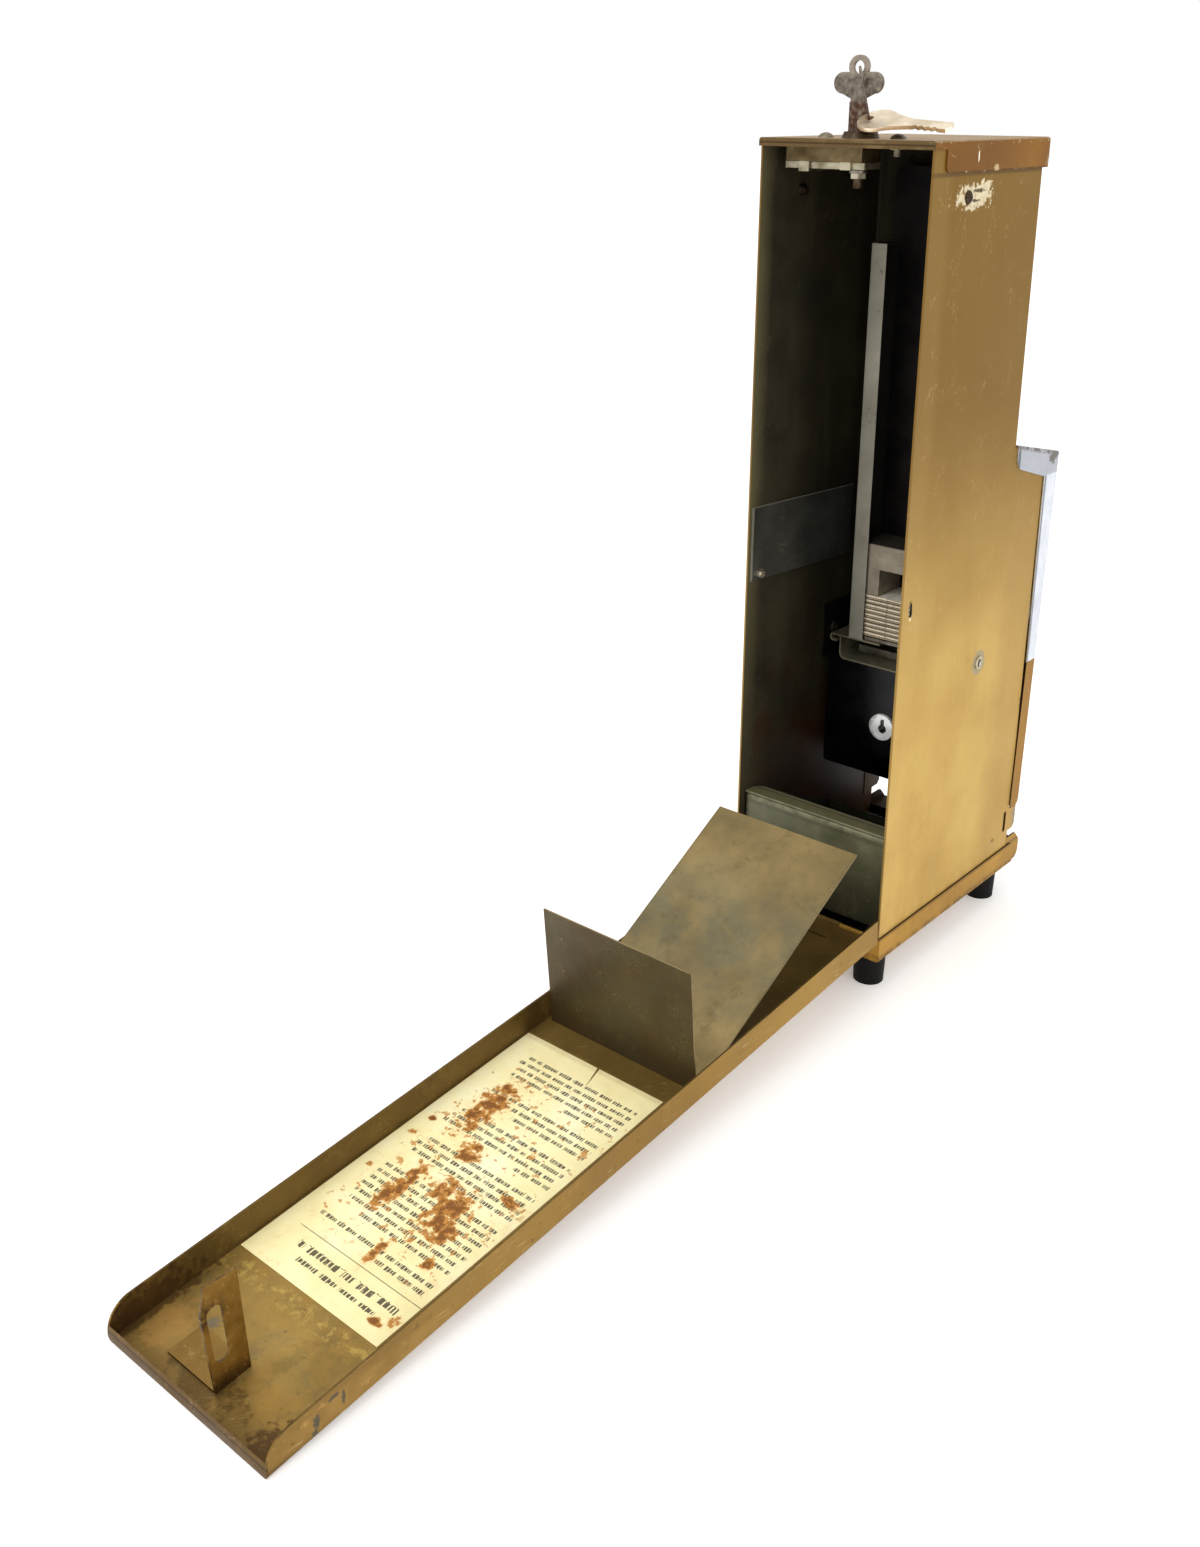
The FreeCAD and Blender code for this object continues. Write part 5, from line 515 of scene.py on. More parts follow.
def worn_chrome():
    """Chrome plate gone milky: a pale blue-grey shine, pitted, with a rubbed brown-grey corner, and painted
    shade along its side tab's edge and its side strip's rear edge.
    """
    f = Finish("worn_chrome_plate", Metallic=1.0)
    milky = clouding(f, 30.0, 0.3, 0.7, 4.0, 0.6)
    pits = clouding(f, 1.6, 0.66, 0.72, 3.0, 0.7)
    side = looking(f, (-1, 0, 0))
    top_slope, top_middle = 0.24, 309.0    # how its top edge rises along y, and its height at y = 0
    top_line = f.add("Math", {0: f.y, 1: top_slope, 2: top_middle}, operation="MULTIPLY_ADD")
    below_top = f.add("Math", {0: top_line, 1: f.z}, operation="SUBTRACT")
    corner = both(f, strip(f, below_top, -9.0, 2.2, 0.8), clouding(f, 6.0, 0.36, 0.5, 4.0, 0.7))
    corner = both(f, corner, strip(f, f.x, -OUT, -48.6, 0.8))
    corner = either(f, corner, patch(f, (HOOD_SIDE, -78.0, 287.5), (3.0, 5.0, 4.0), 0.5, 2.5))
    tab = both(f, side, strip(f, f.z, 277.0, 303.0, 0.5))
    # Painted shade along the side tab's rear edge.
    tab_edge_shade = both(f, side, patch(f, (HOOD_SIDE, -33.4, 291.0), (4.0, 1.7, 10.0), 0.1, 2.0))
    # Painted shade: a dark upright line along the side strip's rear edge.
    side_strip_shade = both(f, side, strip(f, f.z, 100.0, 277.0, 0.6), strip(f, f.y, -71.4, -69.0, 0.7))
    streaks = clouding(f, 1.0, 0.55, 0.7, 3.0, 0.6, drawn=(3.0, 3.0, 22.0), seed=3.0)
    base = coats(f, ground(f, milky, "#C0C4CC", "#D2D6DE", "#E4E8EE"),
                 (streaks, 0.3, "#8E9098"),
                 (looking(f, (0, 0, 1)), 0.3, "#84868A"),
                 (tab, 0.8, "#989BA3"),
                 (strip(f, f.y, -90.0, -83.4, 0.5), 0.35, "#8C8F98"),
                 (side_strip_shade, 0.75, "#3C3E44"),
                 (tab_edge_shade, 0.8, "#3C3F42"),
                 (corner, 0.85, "#6E675E"),
                 (pits, 0.6, "#6E675C"))
    return surface(f, base, either(f, corner, pits), 0.2, 0.5, clouding(f, 1.5), 0.02)


def plated(name, bright, dull, roughness, size=9.0):
    """Plated or bare bright metal with patches of dull grime."""
    f = Finish(name, Metallic=1.0)
    grime = clouding(f, size, 0.45, 0.75, 4.0, 0.65)
    base = coats(f, ground(f, clouding(f, 2 * size, seed=2.0), dull, bright, bright), (grime, 0.8, dull),
                 (scratches(f, (1.5, 1.5, 30.0), (0.5, 0.3, 0)), 0.5, bright))
    return surface(f, base, grime, roughness, roughness + 0.25, clouding(f, 1.5), 0.02)


def painted(name, low, middle_tint, high, roughness, size=20.0, metallic=0.0, shine=0.5):
    """A plain coat of paint or plating whose tone drifts over a size in millimetres."""
    f = Finish(name, Metallic=metallic, Specular_IOR_Level=shine)
    cloud = clouding(f, size, detail=4.0, rough=0.6)
    base = coats(f, ground(f, cloud, low, middle_tint, high),
                 (scratches(f, (2.0, 2.0, 40.0), (0.5, 0.3, 0)), 0.3, high))
    return surface(f, base, cloud, roughness - 0.06, roughness + 0.06, clouding(f, 0.9), 0.02)


def box_enamel():
    """Green-grey enamel on the coin box, its rolled hem rubbed back to pale metal; painted shade inside it,
    deepening towards its bottom, under the hem and in the rim's groove.
    """
    f = Finish("green_grey_box_enamel", Metallic=0.25)
    cloud = clouding(f, 18.0, 0.3, 0.7, 4.0, 0.6)
    low, high = corners("cash_box")
    hem = strip(f, f.z, high.z - 3.1, high.z + 1.3, 0.5)
    rear_wall = strip(f, f.y, high.y - 0.9, OUT, 0.2)
    # Painted shade under the rolled hem.
    shade_under_hem = both(f, rear_wall, strip(f, f.z, high.z - 5.7, high.z - 3.3, 0.4))
    # Painted shade, deepening towards the box's bottom.
    depth = f.add("MapRange", {0: f.z, 1: high.z - 4.7, 2: low.z - 0.4})
    rim_top = both(f, looking(f, (0, 0, 1)), strip(f, f.z, high.z + 0.1, OUT, 0.2))
    # Painted shade in the groove along the rim's top.
    rim_groove_shade = both(f, rim_top, strip(f, f.y, high.y - 8.9, high.y - 7.9, 0.3))
    rim_inner = both(f, rim_top, strip(f, f.y, -OUT, high.y - 9.1, 0.3))
    runs = clouding(f, 1.0, 0.55, 0.7, 3.0, drawn=(5.0, 5.0, 30.0))
    within = strip(f, f.y, -OUT, high.y - 1.4, 0.2)
    shade_under_rim = strip(f, f.z, -OUT, high.z + 0.05, 0.15)
    base = coats(f, ground(f, cloud, "#57573F", "#65644A", "#757357"),
                 (depth, 0.7, "#2E2A1D"),
                 (both(f, hem, clouding(f, 5.0, 0.4, 0.6)), 0.6, "#8F8B6B"),
                 (rim_top, 0.6, "#6E6846"),
                 (rim_groove_shade, 0.8, "#1D190C"),
                 (rim_inner, 0.5, "#7E785E"),
                 (shade_under_hem, 0.4, "#3E3E2E"),
                 (runs, 0.3, "#6E6650"),
                 (scratches(f, (50.0, 2.0, 2.0), (0, 0.3, 0.2)), 0.5, "#8E8B74"),
                 # Painted shade inside the box, below its rim.
                 (both(f, within, shade_under_rim), 0.7, "#1C1B15"))
    return surface(f, base, cloud, 0.34, 0.5, clouding(f, 0.9), 0.02)


def wall_plate_finish():
    """Blued steel plate, smoky grey-green, bright along its cut edges."""
    f = Finish("blued_steel_plate", Metallic=0.5)
    high = corners("wall_plate")[1]
    slope = 5.0 / 103.4    # the fall of its top edge
    cloud = clouding(f, 30.0, 0.3, 0.7, 4.0, 0.55)
    top_line = f.add("Math", {0: f.y, 1: slope, 2: high.z - slope * high.y}, operation="MULTIPLY_ADD")
    below_top = f.add("Math", {0: top_line, 1: f.z}, operation="SUBTRACT")
    edges = either(f, strip(f, below_top, -1.0, 0.45, 0.15), strip(f, f.y, high.y - 0.9, OUT, 0.2))
    base = coats(f, ground(f, cloud, "#3C3C37", "#4C4C46", "#5E5E56"), (edges, 0.7, "#A8A494"),
                 (scratches(f, (2.0, 60.0, 2.0), (0.3, 0, 0)), 0.4, "#8C8978"))
    return surface(f, base, cloud, 0.36, 0.48, clouding(f, 0.9), 0.02)


def key_finish():
    """Nickelled steel key: dark and pitted on its bow, gone red-brown with rust on its blade."""
    f = Finish("tarnished_nickel_steel_key", Metallic=0.9)
    blotch = clouding(f, 4.0, 0.35, 0.65, 4.0, 0.65)
    rust = f.add("MapRange", {0: f.z, 1: 484.5, 2: 482.0})
    eye = f.add("MapRange", {0: f.z, 1: 494.0, 2: 497.0})
    base = coats(f, ground(f, blotch, "#4C443C", "#6E655B", "#90877B"),
                 (eye, 0.4, "#B6AA98"),
                 (both(f, rust, clouding(f, 2.5, 0.3, 0.55)), 0.85, "#4E2F22"),
                 (both(f, rust, clouding(f, 1.6, 0.55, 0.65)), 0.6, "#8E6F58"))
    return surface(f, base, either(f, blotch, rust), 0.34, 0.6, clouding(f, 1.0), 0.05)


def cast_weight():
    """Cast zinc, dull and pin-pocked; dark on its top faces."""
    f = Finish("cast_zinc_weight", Metallic=0.6)
    cloud = clouding(f, 12.0, 0.3, 0.7, 4.0, 0.6)
    pocks = clouding(f, 1.5, 0.66, 0.7, 2.0, 0.6)
    top_edge = strip(f, f.z, corners("stamp_weight")[1].z - 0.72, OUT, 0.2)
    base = coats(f, ground(f, cloud, "#8C8270", "#A19684", "#B5AA97"),
                 (pocks, 0.7, "#4A4236"),
                 (looking(f, (0, 0, 1)), 0.85, "#2C2620"),
                 (top_edge, 0.4, "#5A5146"))
    return surface(f, base, cloud, 0.45, 0.6, pocks, -0.1)


def rail_finish():
    """Grey zinc on the magazine's angle rails: bright flanges with small dark dents, their legs near black.
    """
    f = Finish("greyed_zinc_strip", Metallic=0.5)
    cloud = clouding(f, 40.0, 0.3, 0.7, 4.0, 0.6)
    legs = either(f, looking(f, (-1, 0, 0)), looking(f, (1, 0, 0)))
    dents = both(f, clouding(f, 2.4, 0.62, 0.68, 3.0, 0.6), clouding(f, 20.0, 0.45, 0.6, seed=2.0))
    base = coats(f, ground(f, cloud, "#8E8A7C", "#A29D8D", "#B4AF9E"),
                 (dents, 0.6, "#4E4A40"),
                 (legs, 0.85, "#191614"))
    return surface(f, base, cloud, 0.36, 0.46, dents, -0.08)


def lock_face():
    """Nickel on the small lock: a face painted white as a reflection, a fine dark ring and a keyhole painted
    near black as shade.
    """
    f = Finish("nickel_lock_face_painted_reflection", Metallic=0.25)
    lock = middle("case_lock_barrel")
    keyhole_z = lock.z - 1.0
    from_middle = f.add("VectorMath", {0: f.place, 1: lock}, operation="SUBTRACT")
    from_middle = f.add("VectorMath", {0: from_middle, 1: (1.0, 0.0, 1.0)}, operation="MULTIPLY")
    radius = f.add("VectorMath", {0: from_middle}, give=1, operation="LENGTH")
    face = looking(f, (0, 1, 0))
    ring = both(f, face, strip(f, radius, 8.0, 8.7, 0.15))
    shade = both(f, face, strip(f, radius, 6.6, 8.0, 0.3), strip(f, f.x, 3.0, 9.0, 1.0),
                 clouding(f, 3.0, 0.3, 0.6))
    slit = both(f, strip(f, f.x, -1.7, 0.5, 0.12), strip(f, f.z, keyhole_z, keyhole_z + 6.0, 0.15))
    # The keyhole, painted near black as the shade inside its opening.
    keyhole_shade = either(f, patch(f, (-0.6, 10.8, keyhole_z), (2.7, 12.0, 2.7), soft=0.08), slit)
    # The white face is a painted reflection.
    base = coats(f, ground(f, clouding(f, 9.0, seed=2.0), "#F6F6F4", "#FBFBFA", "#FFFFFF"),
                 (ring, 0.85, "#3A3833"), (shade, 0.7, "#6A6760"), (keyhole_shade, 1.0, "#0A0706"))
    return surface(f, base, clouding(f, 4.0), 0.08, 0.16, clouding(f, 2.0), 0.01)


def rivet_finish():
    """Dull steel eyelet in the side panels: grey-buff rim, its hole painted black as shade and a painted
    highlight crescent in it.
    """
    f = Finish("dull_steel_eyelet", Metallic=0.6)
    face = corners("side_rivets")[0].x
    # The hole painted black as shade, and in it a painted highlight crescent.
    hole_shade = patch(f, (face, RIVET.y, RIVET.z), (9.0, 1.9, 2.3), soft=0.1)
    crescent_highlight = both(f, hole_shade, patch(f, (face, RIVET.y - 0.9, RIVET.z - 0.6), (9.0, 0.9, 1.3)))
    inside = strip(f, f.x, -49.2, 49.2, 0.1)
    base = coats(f, ground(f, clouding(f, 3.0), "#9A8E70", "#AEA385", "#C2B698"),
                 (hole_shade, 1.0, "#17120D"), (crescent_highlight, 0.9, "#E9E5DA"), (inside, 0.9, "#1E1A16"))
    return surface(f, base, clouding(f, 3.0, seed=2.0), 0.4, 0.55, clouding(f, 1.0), 0.03)


def folded_cards():
    """Folded card: bright flap edges over a brown pad of stamps, with painted shadow in the gap under each
    folder, once for every folder up the stack.
    """
    f = Finish("folded_card", Roughness=0.85)
    up = f.add("Math", {0: f.z, 1: STACK_Z}, operation="SUBTRACT")
    level = f.add("Math", {0: up, 1: CARD_PITCH}, operation="DIVIDE")
    level = f.add("Math", {0: level}, operation="FRACT")
    # The dark stops at 0.86 and 0, over the gap between one folder and the next, are painted shadow.
    layers = f.add("ValToRGB", {0: level}, [(0.0, "#5E4A2C"), (0.34, "#8C7650"), (0.4, "#FFF7E4"),
                                            (0.78, "#F4E6C6"), (0.86, "#3E3220")])
    seam = strip(f, f.x, 3.6, 4.3, 0.15)
    foxing = clouding(f, 3.0, 0.55, 0.7, seed=2.0)
    base = coats(f, layers,
                 (seam, 0.6, "#54432A"),
                 (looking(f, (0, 0, 1)), 0.9, "#FBF4E2"),
                 (foxing, 0.35, "#A07E4C"))
    return f.wire(Base_Color=base)


# ---------------- the label's paper and printing
LINE_PITCH = 4.85
FIRST_LINE = 194.0     # how far up the door the lowest line of small print stands
LINE_COUNT = 30
LINE_START = -35.0
LINE_END = 39.0
# The share that is printed of each line that isn't full: none of a blank one.
SHORT_LINES = {4: 0.42, 5: 0, 8: 0.68, 9: 0, 13: 0.35, 14: 0, 18: 0.55, 19: 0, 26: 0.8, 27: 0, 29: 0.5}
LINE_SHIFT = 37.7      # moves each line's words on by so many words, so that no two lines match
WORD_GAP = 0.09        # the share of a word left blank at each end
LETTER_GAP = 0.13      # and of a letter
# Each heading: how far up, from where to where across, its words' and letters' lengths, height, seed.
HEADINGS = ((348.2, -33.0, 31.0, 17.0, 2.9, 2.1, 5.0), (354.8, -26.0, 24.0, 13.0, 2.1, 1.4, 11.0))
# Each stain: how far across and up, then its half width and half height.
STAINS = ((26.0, 236.0, 9.0, 24.0), (28.0, 222.0, 6.0, 10.0), (-9.0, 296.0, 10.0, 19.0),
          (21.0, 297.0, 7.0, 21.0), (3.0, 286.0, 7.0, 9.0), (-28.0, 274.0, 8.0, 3.0),
          (-1.0, 331.0, 3.0, 10.0), (-24.0, 323.0, 3.0, 4.0), (43.0, 256.0, 2.6, 2.4),
          (43.5, 268.0, 2.4, 2.4), (43.0, 296.0, 2.4, 2.0), (-30.0, 357.0, 6.0, 2.2),
          (11.0, 262.0, 8.0, 8.0), (-18.0, 306.0, 5.0, 8.0), (-36.0, 353.0, 3.0, 4.0))


def words(f, number, word, letter, tall, level, seed):
    """Dashes broken like words and letters of some lengths and a height, about a level of the paper."""
    shifted = f.add("Math", {0: number, 1: LINE_SHIFT, 2: seed}, operation="MULTIPLY_ADD")
    edges = []
    for length in (word, letter):
        place = f.add("Math", {0: f.x, 1: 1 / length, 2: shifted}, operation="MULTIPLY_ADD")
        edges.append(f.add("TexVoronoi", {"W": place, "Scale": 1.0}, voronoi_dimensions="1D",
                           feature="DISTANCE_TO_EDGE"))
    half_letter = f.add("Math", {0: place, 1: 0.5}, operation="SNAP")
    sort = f.add("TexWhiteNoise", {"W": half_letter}, noise_dimensions="1D")
    reach = f.add("MapRange", {0: sort, 3: 0.62 * tall, 4: tall})
    away = f.add("Math", {0: level}, operation="ABSOLUTE")
    return both(f, *[f.add("Math", {0: more, 1: less}, operation="GREATER_THAN")
                     for more, less in ((reach, away), (edges[0], WORD_GAP), (edges[1], LETTER_GAP))])


def line_ends(f, number):
    """How far across the paper each line of small print runs: its start for a blank line."""
    ragged = f.add("TexWhiteNoise", {"W": number}, noise_dimensions="1D")
    lost = f.add("Math", {0: ragged, 1: 0.07}, operation="MULTIPLY")
    for line, share in SHORT_LINES.items():
        here = f.add("Math", {0: number, 1: float(line), 2: 0.5}, operation="COMPARE")
        lost = f.add("Math", {0: here, 1: 1.0 - share, 2: lost}, operation="MULTIPLY_ADD")
    return f.add("MapRange", {0: lost, 3: LINE_END, 4: LINE_START})


def printing(f, along):
    """Everything printed: thirty lines of small print, a rule and two heading lines."""
    row = f.add("Math", {0: along, 1: 1 / LINE_PITCH, 2: 0.5 - FIRST_LINE / LINE_PITCH},
                operation="MULTIPLY_ADD")
    number = f.add("Math", {0: row}, operation="FLOOR")
    height = f.add("Math", {0: row}, operation="FRACT")
    height = f.add("Math", {0: height, 1: 0.5}, operation="SUBTRACT")
    limits = ((f.x, LINE_START), (line_ends(f, number), f.x), (row, 0.0), (float(LINE_COUNT), row))
    within = [f.add("Math", {0: more, 1: less}, operation="GREATER_THAN") for more, less in limits]
    rule = both(f, strip(f, along, 340.4, 340.8, 0.05), strip(f, f.x, -40.0, 39.0, 0.1))
    printed = [both(f, *within, words(f, number, 8.0, 1.5, 0.27, height, 0.0)), rule]
    for centre, start, end, word, letter, tall, seed in HEADINGS:
        level = f.add("Math", {0: along, 1: centre}, operation="SUBTRACT")
        dashes = words(f, number, word, letter, tall, level, seed)
        printed.append(both(f, strip(f, f.x, start, end, 0.1), dashes))
    return either(f, *printed)


def printed_paper():
    """Aged cream paper: lines of plain printed dashes for words, foxing, and rust soaked up from the door."""
    f = Finish("aged_printed_paper", Roughness=0.8)
    along = f.add("Math", {0: f.y, 1: HINGE_Y}, operation="SUBTRACT")
    along = f.add("Math", {0: along, 1: DOOR_STRETCH}, operation="MULTIPLY")
    soaked = either(f, *[patch(f, (x, HINGE_Y + up / DOOR_STRETCH, 15.0), (wide, tall, 40.0), soft=0.55)
                         for x, up, wide, tall in STAINS])
    blotch = clouding(f, 4.6, 0.2, 0.8, 5.0, 0.66)
    blotch = f.add("Math", {0: soaked, 1: 0.55, 2: blotch}, operation="MULTIPLY_ADD")
    halo = both(f, soaked, f.add("MapRange", {0: blotch, 1: 0.6, 2: 0.92}))
    stained = f.add("MapRange", {0: soaked, 2: 0.15})
    rust = both(f, stained, f.add("MapRange", {0: blotch, 1: 0.87, 2: 0.93}))
    deep_rust = both(f, rust, f.add("MapRange", {0: blotch, 1: 1.0, 2: 1.12}))
    specks = both(f, strip(f, f.x, -38.0, 44.0, 2.0), strip(f, along, 200.0, 334.0, 6.0),
                  clouding(f, 5.0, 0.61, 0.64, 4.0, 0.62, seed=21.0))
    foxing = clouding(f, 9.0, 0.6, 0.76, 4.0, 0.7, seed=13.0)
    warm_patches = clouding(f, 12.0, 0.58, 0.75, 5.0, 0.65, seed=19.0)
    fading = clouding(f, 3.0, 0.15, 0.42, 3.0, 0.6, seed=17.0)
    foot = strip(f, along, 178.0, 182.2, 0.8)
    paper = coats(f, ground(f, clouding(f, 30.0, 0.3, 0.7, 4.0, 0.6), "#F4E4A8", "#FCF0B6", "#FEF7CA"),
                  (foxing, 0.45, "#E3B183"),
                  (halo, 0.6, "#E6B772"),
                  (warm_patches, 0.35, "#EDC08C"),
                  (both(f, printing(f, along), fading), 0.9, "#33291D"),
                  (specks, 0.85, "#C98A3A"),
                  (rust, 0.92, "#BC7A22"),
                  (deep_rust, 0.85, "#75430F"),
                  (foot, 0.3, "#B79C68"))
    crinkle = f.add("Bump", {"Height": clouding(f, 14.0, 0.2, 0.8, 4.0, 0.55), "Distance": 0.25 * MM,
                             "Strength": 1.0})
    return f.wire(Base_Color=paper, Normal=crinkle)


cards = folded_cards()
box_coat = box_enamel()
# Bare sheet gone a matt chestnut brown.
seam_brown = painted("browned_bare_sheet", "#3A2812", "#4A3418", "#5C4320", 0.6, metallic=0.2, shine=0.2)

FINISHES = {
    housing_enamel(): ["housing_shell"],
    cap_enamel(): ["top_cap"],
    base_enamel(): ["base_pan", "base_hinge_leaf", "delivery_lip"],
    cover_enamel(): ["lower_front_cover"],
    door_enamel(): ["door_pan", "door_hinge_leaf"],
    hasp_finish(): ["hasp_bracket"],
    bronze_sheet(): ["door_baffle"],
    worn_chrome(): ["chrome_hood", "coin_slide_escutcheon", "slide_handle"],
    wall_plate_finish(): ["wall_plate"],
    rail_finish(): ["magazine_rail_left", "magazine_rail_right"],
    cast_weight(): ["stamp_weight"],
    key_finish(): ["door_key", "key_ring"],
    lock_face(): ["case_lock_barrel", "case_lock_plug"],
    rivet_finish(): ["side_rivets"],
    printed_paper(): ["direction_label"],
    cards: ["stamp_folders"],
    box_coat: ["cash_box"],
    # Zinc plate: a soft grey shine under brown grime.
    plated("dull_zinc_plate", "#8F897C", "#5A5348", 0.42): ["lock_cam", "hinge_pin", "foot_screws",
                                                            "coin_slide", "ejector_blade"],
    # Cast zinc: a warm brown-grey, rough and hardly shining.
    plated("cast_zinc_lock_case", "#7C6B4C", "#54462F", 0.5, 14.0): ["lock_case"],
    # Bright zinc: the palest metal round the lock, with a cool gleam.
    plated("bright_zinc_strap", "#B8B098", "#857C66", 0.45, 8.0): ["lock_strap", "lock_bolt", "bolt_keepers",
                                                                  "lock_nut", "plug_nut"],
    # Browned steel: dark, with a dull gleam on its edges.
    plated("browned_steel_fixing", "#57493A", "#31261B", 0.5, 4.0): ["lock_collar", "lock_plug",
                                                                    "upper_side_screws"],
    # Dull steel: grimy grey-buff screw heads.
    plated("dull_steel_screw_heads", "#8C8270", "#5E5648", 0.45, 4.0): ["lock_screws"],
    # Nickel gone dull: a pale head that still catches the light.
    plated("dull_nickel_screw", "#E6DED0", "#9C8C70", 0.25, 4.0): ["wall_plate_screw"],
    # Pale nickel brass: creamy and nearly clean.
    plated("pale_nickel_brass_key", "#F8E9D0", "#DCCBAE", 0.3, 8.0): ["spare_key"],
    # Passivated zinc: khaki, half metal and half matt.
    painted("khaki_passivated_zinc", "#5A5542", "#706A54", "#857E66", 0.46, metallic=0.4):
        ["slide_tunnel", "shelf_plate"],
    # Blued sheet: nearly black, with a soft brown sheen.
    painted("dark_blued_sheet", "#0C0909", "#130F0E", "#1C1815", 0.45, metallic=0.3, shine=0.25):
        ["magazine_back", "magazine_standoffs", "mechanism_bracket", "delivery_chute", "cash_box_runners"],
    # Stove enamel: deep black and glossy.
    painted("black_stove_enamel", "#010103", "#030306", "#08080C", 0.2, shine=0.25): ["mechanism_case"],
    # Moulded rubber: black and matt.
    painted("moulded_black_rubber", "#050404", "#080707", "#0D0C0C", 0.6, shine=0.15): ["rubber_feet"],
}
for material, names in FINISHES.items():
    for name in names:
        mesh = nodes[name].data
        mesh.materials.clear()
        mesh.materials.append(material)


# ---------------- pieces made here
def new_piece(name, shape, material, body):
    """Finish a bmesh as a piece: tidy normals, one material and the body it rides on."""
    bmesh.ops.recalc_face_normals(shape, faces=shape.faces)
    mesh = bpy.data.meshes.new(name)
    shape.to_mesh(mesh)
    shape.free()
    mesh.materials.append(material)
    piece = bpy.data.objects.new(name, mesh)
    bpy.context.scene.collection.objects.link(piece)
    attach(piece, body)
    return piece


def round_off(shape, edges, radius, segments):
    """Round some edges over to a radius in millimetres."""
    return bmesh.ops.bevel(shape, geom=edges, offset=radius * MM, segments=segments, affect="EDGES",
                           profile=0.5, material=-1)


def runs_along(edge, axis):
    """Whether an edge runs along an axis: 0 for x, 1 for y and 2 for z."""
    way = edge.verts[1].co - edge.verts[0].co
    return abs(way[axis]) > 0.9 * way.length


def lies_at(edge, y):
    """Whether an edge lies at a place along y, in millimetres."""
    return all(abs(vert.co.y / MM - y) < 0.1 for vert in edge.verts)


def block(shape, low, high, lean=0.0, fold=0.0):
    """Add a block between two corners in millimetres, its edges along y rounded to a fold, then leant."""
    verts = bmesh.ops.create_cube(shape, size=1.0)["verts"]
    bmesh.ops.scale(shape, verts=verts, vec=[(b - a) * MM for a, b in zip(low, high)])
    if fold:
        edges = {edge for vert in verts for edge in vert.link_edges if runs_along(edge, 1)}
        made = round_off(shape, list(edges), fold, 4)
        verts = list(set(made["verts"]) | {vert for vert in verts if vert.is_valid})
    if lean:
        bmesh.ops.rotate(shape, verts=verts, cent=(0, 0, 0), matrix=Matrix.Rotation(lean, 3, "Y"))
    centre = Vector([(a + b) / 2 * MM for a, b in zip(low, high)])
    bmesh.ops.translate(shape, verts=verts, vec=centre)


def make_folded_cards():
    """Nine folders of stamps: a cover card, a pad of stamps and two flaps that meet off the middle."""
    draw = random.Random(7)
    count = 9
    cover = 0.55
    pad_top = 1.75
    flap_low, flap_top, flap_fold = 1.5, 2.3, 0.36
    (left, front, bottom), (right, rear, _) = corners("stamp_folders")
    left += 0.2
    right -= 0.2
    shape = bmesh.new()
    for number in range(count):
        base = bottom + number * CARD_PITCH
        pull = draw.uniform(-0.5, 0.0)
        block(shape, (left, front, base), (right, rear + pull, base + cover))
        block(shape, (left + 1.4, front + 0.5, base + cover), (right - 1.4, rear - 1.2, base + pad_top))
        seam = 4.0 + draw.uniform(-0.8, 0.8)
        for start, end in ((left, seam - 0.15), (seam + 0.15, right)):
            lift = draw.uniform(0.0, 0.35)
            back = draw.uniform(-0.7, 0.0)
            lean = draw.uniform(-0.006, 0.006)
            block(shape, (start, front, base + flap_low + lift), (end, rear + back, base + flap_top + lift),
                  lean, flap_fold)
    piece = new_piece("folded_stamp_cards", shape, cards, "cabinet")
    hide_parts("stamp_folders")


def make_coin_box_rim():
    """The rolled ledge along the top of the coin box's tall rear wall, with wide inner corners."""
    half, inner, outer, under, top = 47.9, 70.2, 81.7, 96.75, 98.1
    shape = bmesh.new()
    block(shape, (-half, inner, under), (half, outer, top))
    round_off(shape, [edge for edge in shape.edges if lies_at(edge, inner) and runs_along(edge, 2)], 7, 6)
    round_off(shape, [edge for edge in shape.edges if lies_at(edge, outer)], 0.6, 3)
    new_piece("coin_box_rim", shape, box_coat, "cash_box")


def make_slot_backings():
    """The browned metal seen through the upright slots low in the housing's two sides."""
    inner, outer, front, rear, foot, top = 48.5, 49.0, -66.5, -57.5, 46.0, 67.5
    for name, near, far in (("left", -outer, -inner), ("right", inner, outer)):
        shape = bmesh.new()
        block(shape, (near, front, foot), (far, rear, top))
        new_piece("slot_backing_" + name, shape, seam_brown, "cabinet")


make_folded_cards()
make_coin_box_rim()
make_slot_backings()

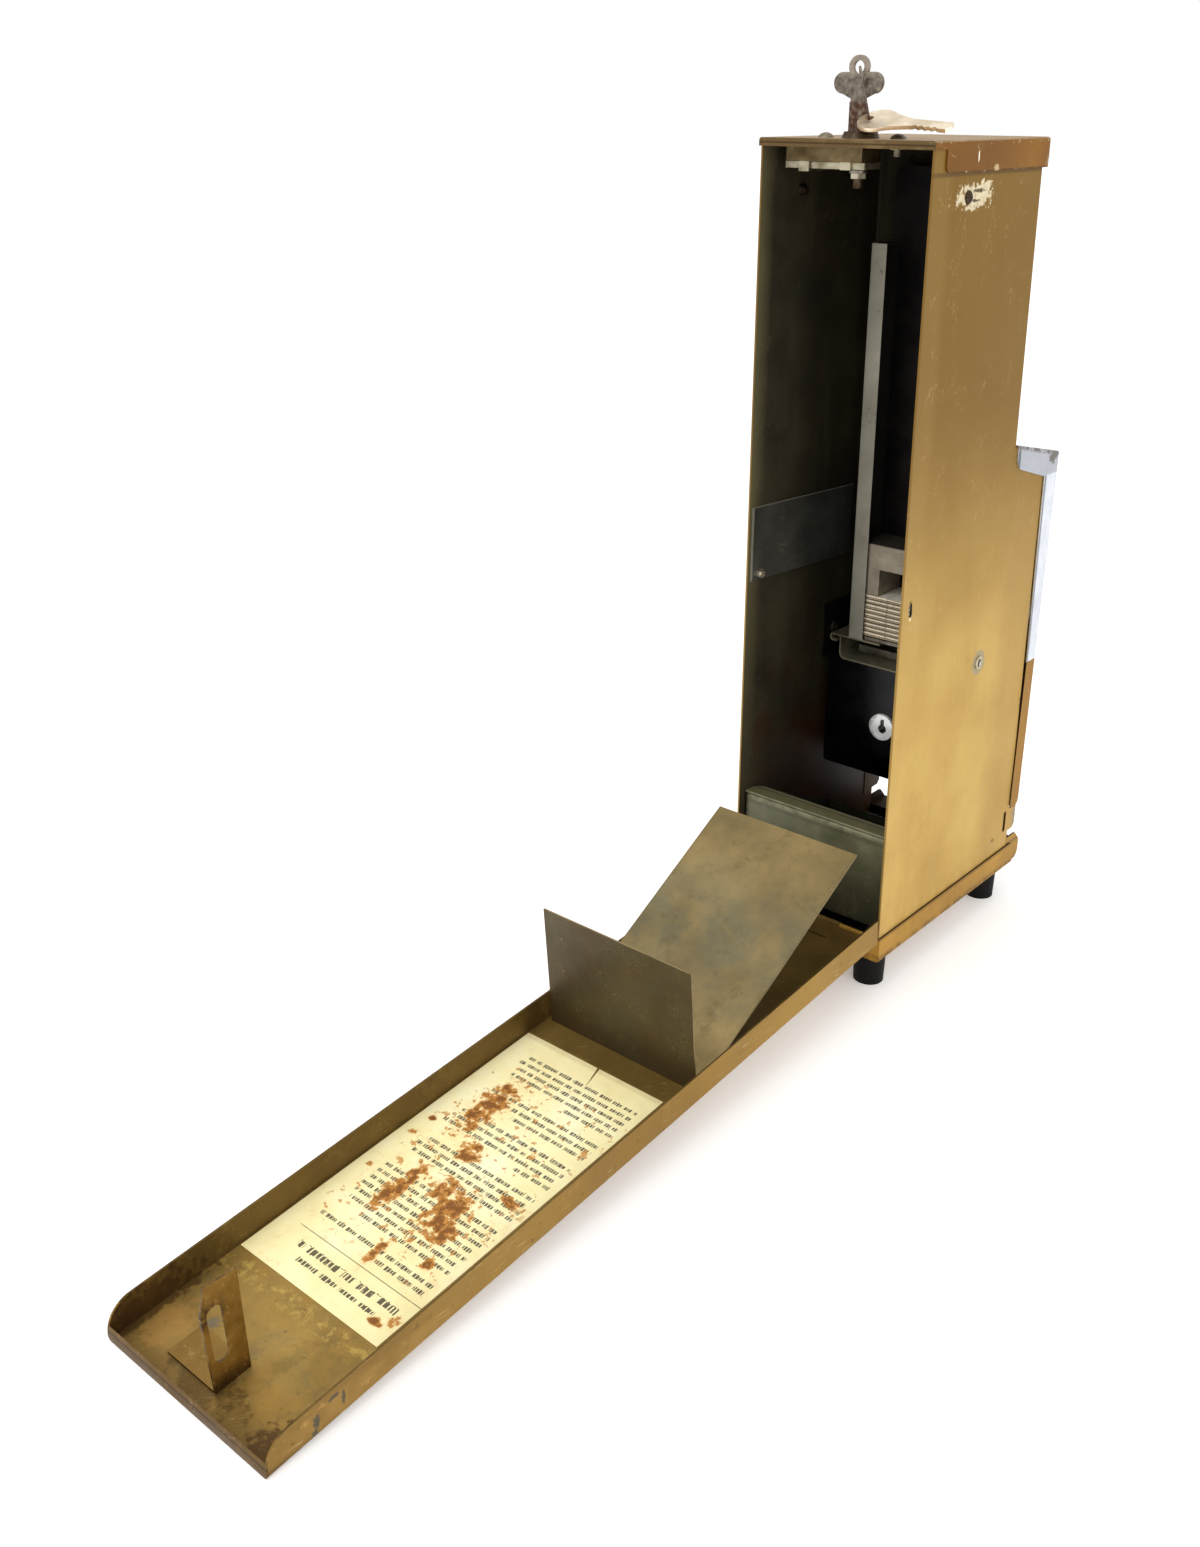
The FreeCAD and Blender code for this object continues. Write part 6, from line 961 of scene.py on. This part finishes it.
# ---------------- floor, light and camera
FLOOR_REACH = 12.0    # metres out to the floor's edges
floor_mesh = bpy.data.meshes.new("studio_floor")
shape = bmesh.new()
bmesh.ops.create_grid(shape, x_segments=1, y_segments=1, size=FLOOR_REACH)
shape.to_mesh(floor_mesh)
shape.free()
floor = bpy.data.objects.new("studio_floor", floor_mesh)
bpy.context.scene.collection.objects.link(floor)
studio = Finish("matt_white_paper_floor", Roughness=0.7, Specular_IOR_Level=0.2, Base_Color="#FCFBFA",
                Emission_Color="#FFFFFF", Emission_Strength=0.25)
floor_mesh.materials.append(studio.material)

world = bpy.data.worlds.new("studio_surround")
bpy.context.scene.world = world
world.use_nodes = True
surround = world.node_tree.nodes["Background"]
surround.inputs["Color"].default_value = linear("#FFFFFF")
surround.inputs["Strength"].default_value = 1.0


def softbox(name, place, target, size, power):
    """A square area light that looks at a target: places and size in metres, power in watts."""
    light = bpy.data.lights.new(name, "AREA")
    light.size = size
    light.energy = power
    lamp = bpy.data.objects.new(name, light)
    lamp.location = place
    lamp.rotation_euler = (Vector(target) - Vector(place)).to_track_quat("-Z", "Y").to_euler()
    bpy.context.scene.collection.objects.link(lamp)


softbox("key_light", (0.3, 1.1, 1.6), (0, 0.15, 0.1), 1.4, 8)
softbox("side_light", (-1.6, 0.5, 0.7), (0, 0.0, 0.1), 1.2, 5)

# The camera's place in metres, its turns in radians and its lens in pixels of the frame.
CAMERA_PLACE = (-0.42899, 0.76602, 0.48491)
YAW, PITCH, ROLL = 0.712, 0.341, 0.003
FOCAL_PIXELS, CENTRE_X, CENTRE_Y = 1537.07, 600.64, 642.48
WIDE, TALL = 1200, 1547
forward = Vector((math.sin(YAW) * math.cos(PITCH), -math.cos(YAW) * math.cos(PITCH), -math.sin(PITCH)))
right = forward.cross(Vector((0, 0, 1))).normalized()
up = right.cross(forward)
turned = Matrix((right, up, -forward)).transposed().to_4x4() @ Matrix.Rotation(ROLL, 4, "Z")
lens = bpy.data.cameras.new("camera")
lens.sensor_fit = "AUTO"
lens.sensor_width = 36.0
lens.lens = FOCAL_PIXELS * lens.sensor_width / TALL
lens.shift_x = (WIDE / 2 - CENTRE_X) / TALL
lens.shift_y = (CENTRE_Y - TALL / 2) / TALL
lens.clip_start = 0.01
camera = bpy.data.objects.new("camera", lens)
camera.matrix_world = Matrix.Translation(CAMERA_PLACE) @ turned
bpy.context.scene.collection.objects.link(camera)
bpy.context.scene.camera = camera
bpy.context.scene.view_settings.view_transform = "Standard"
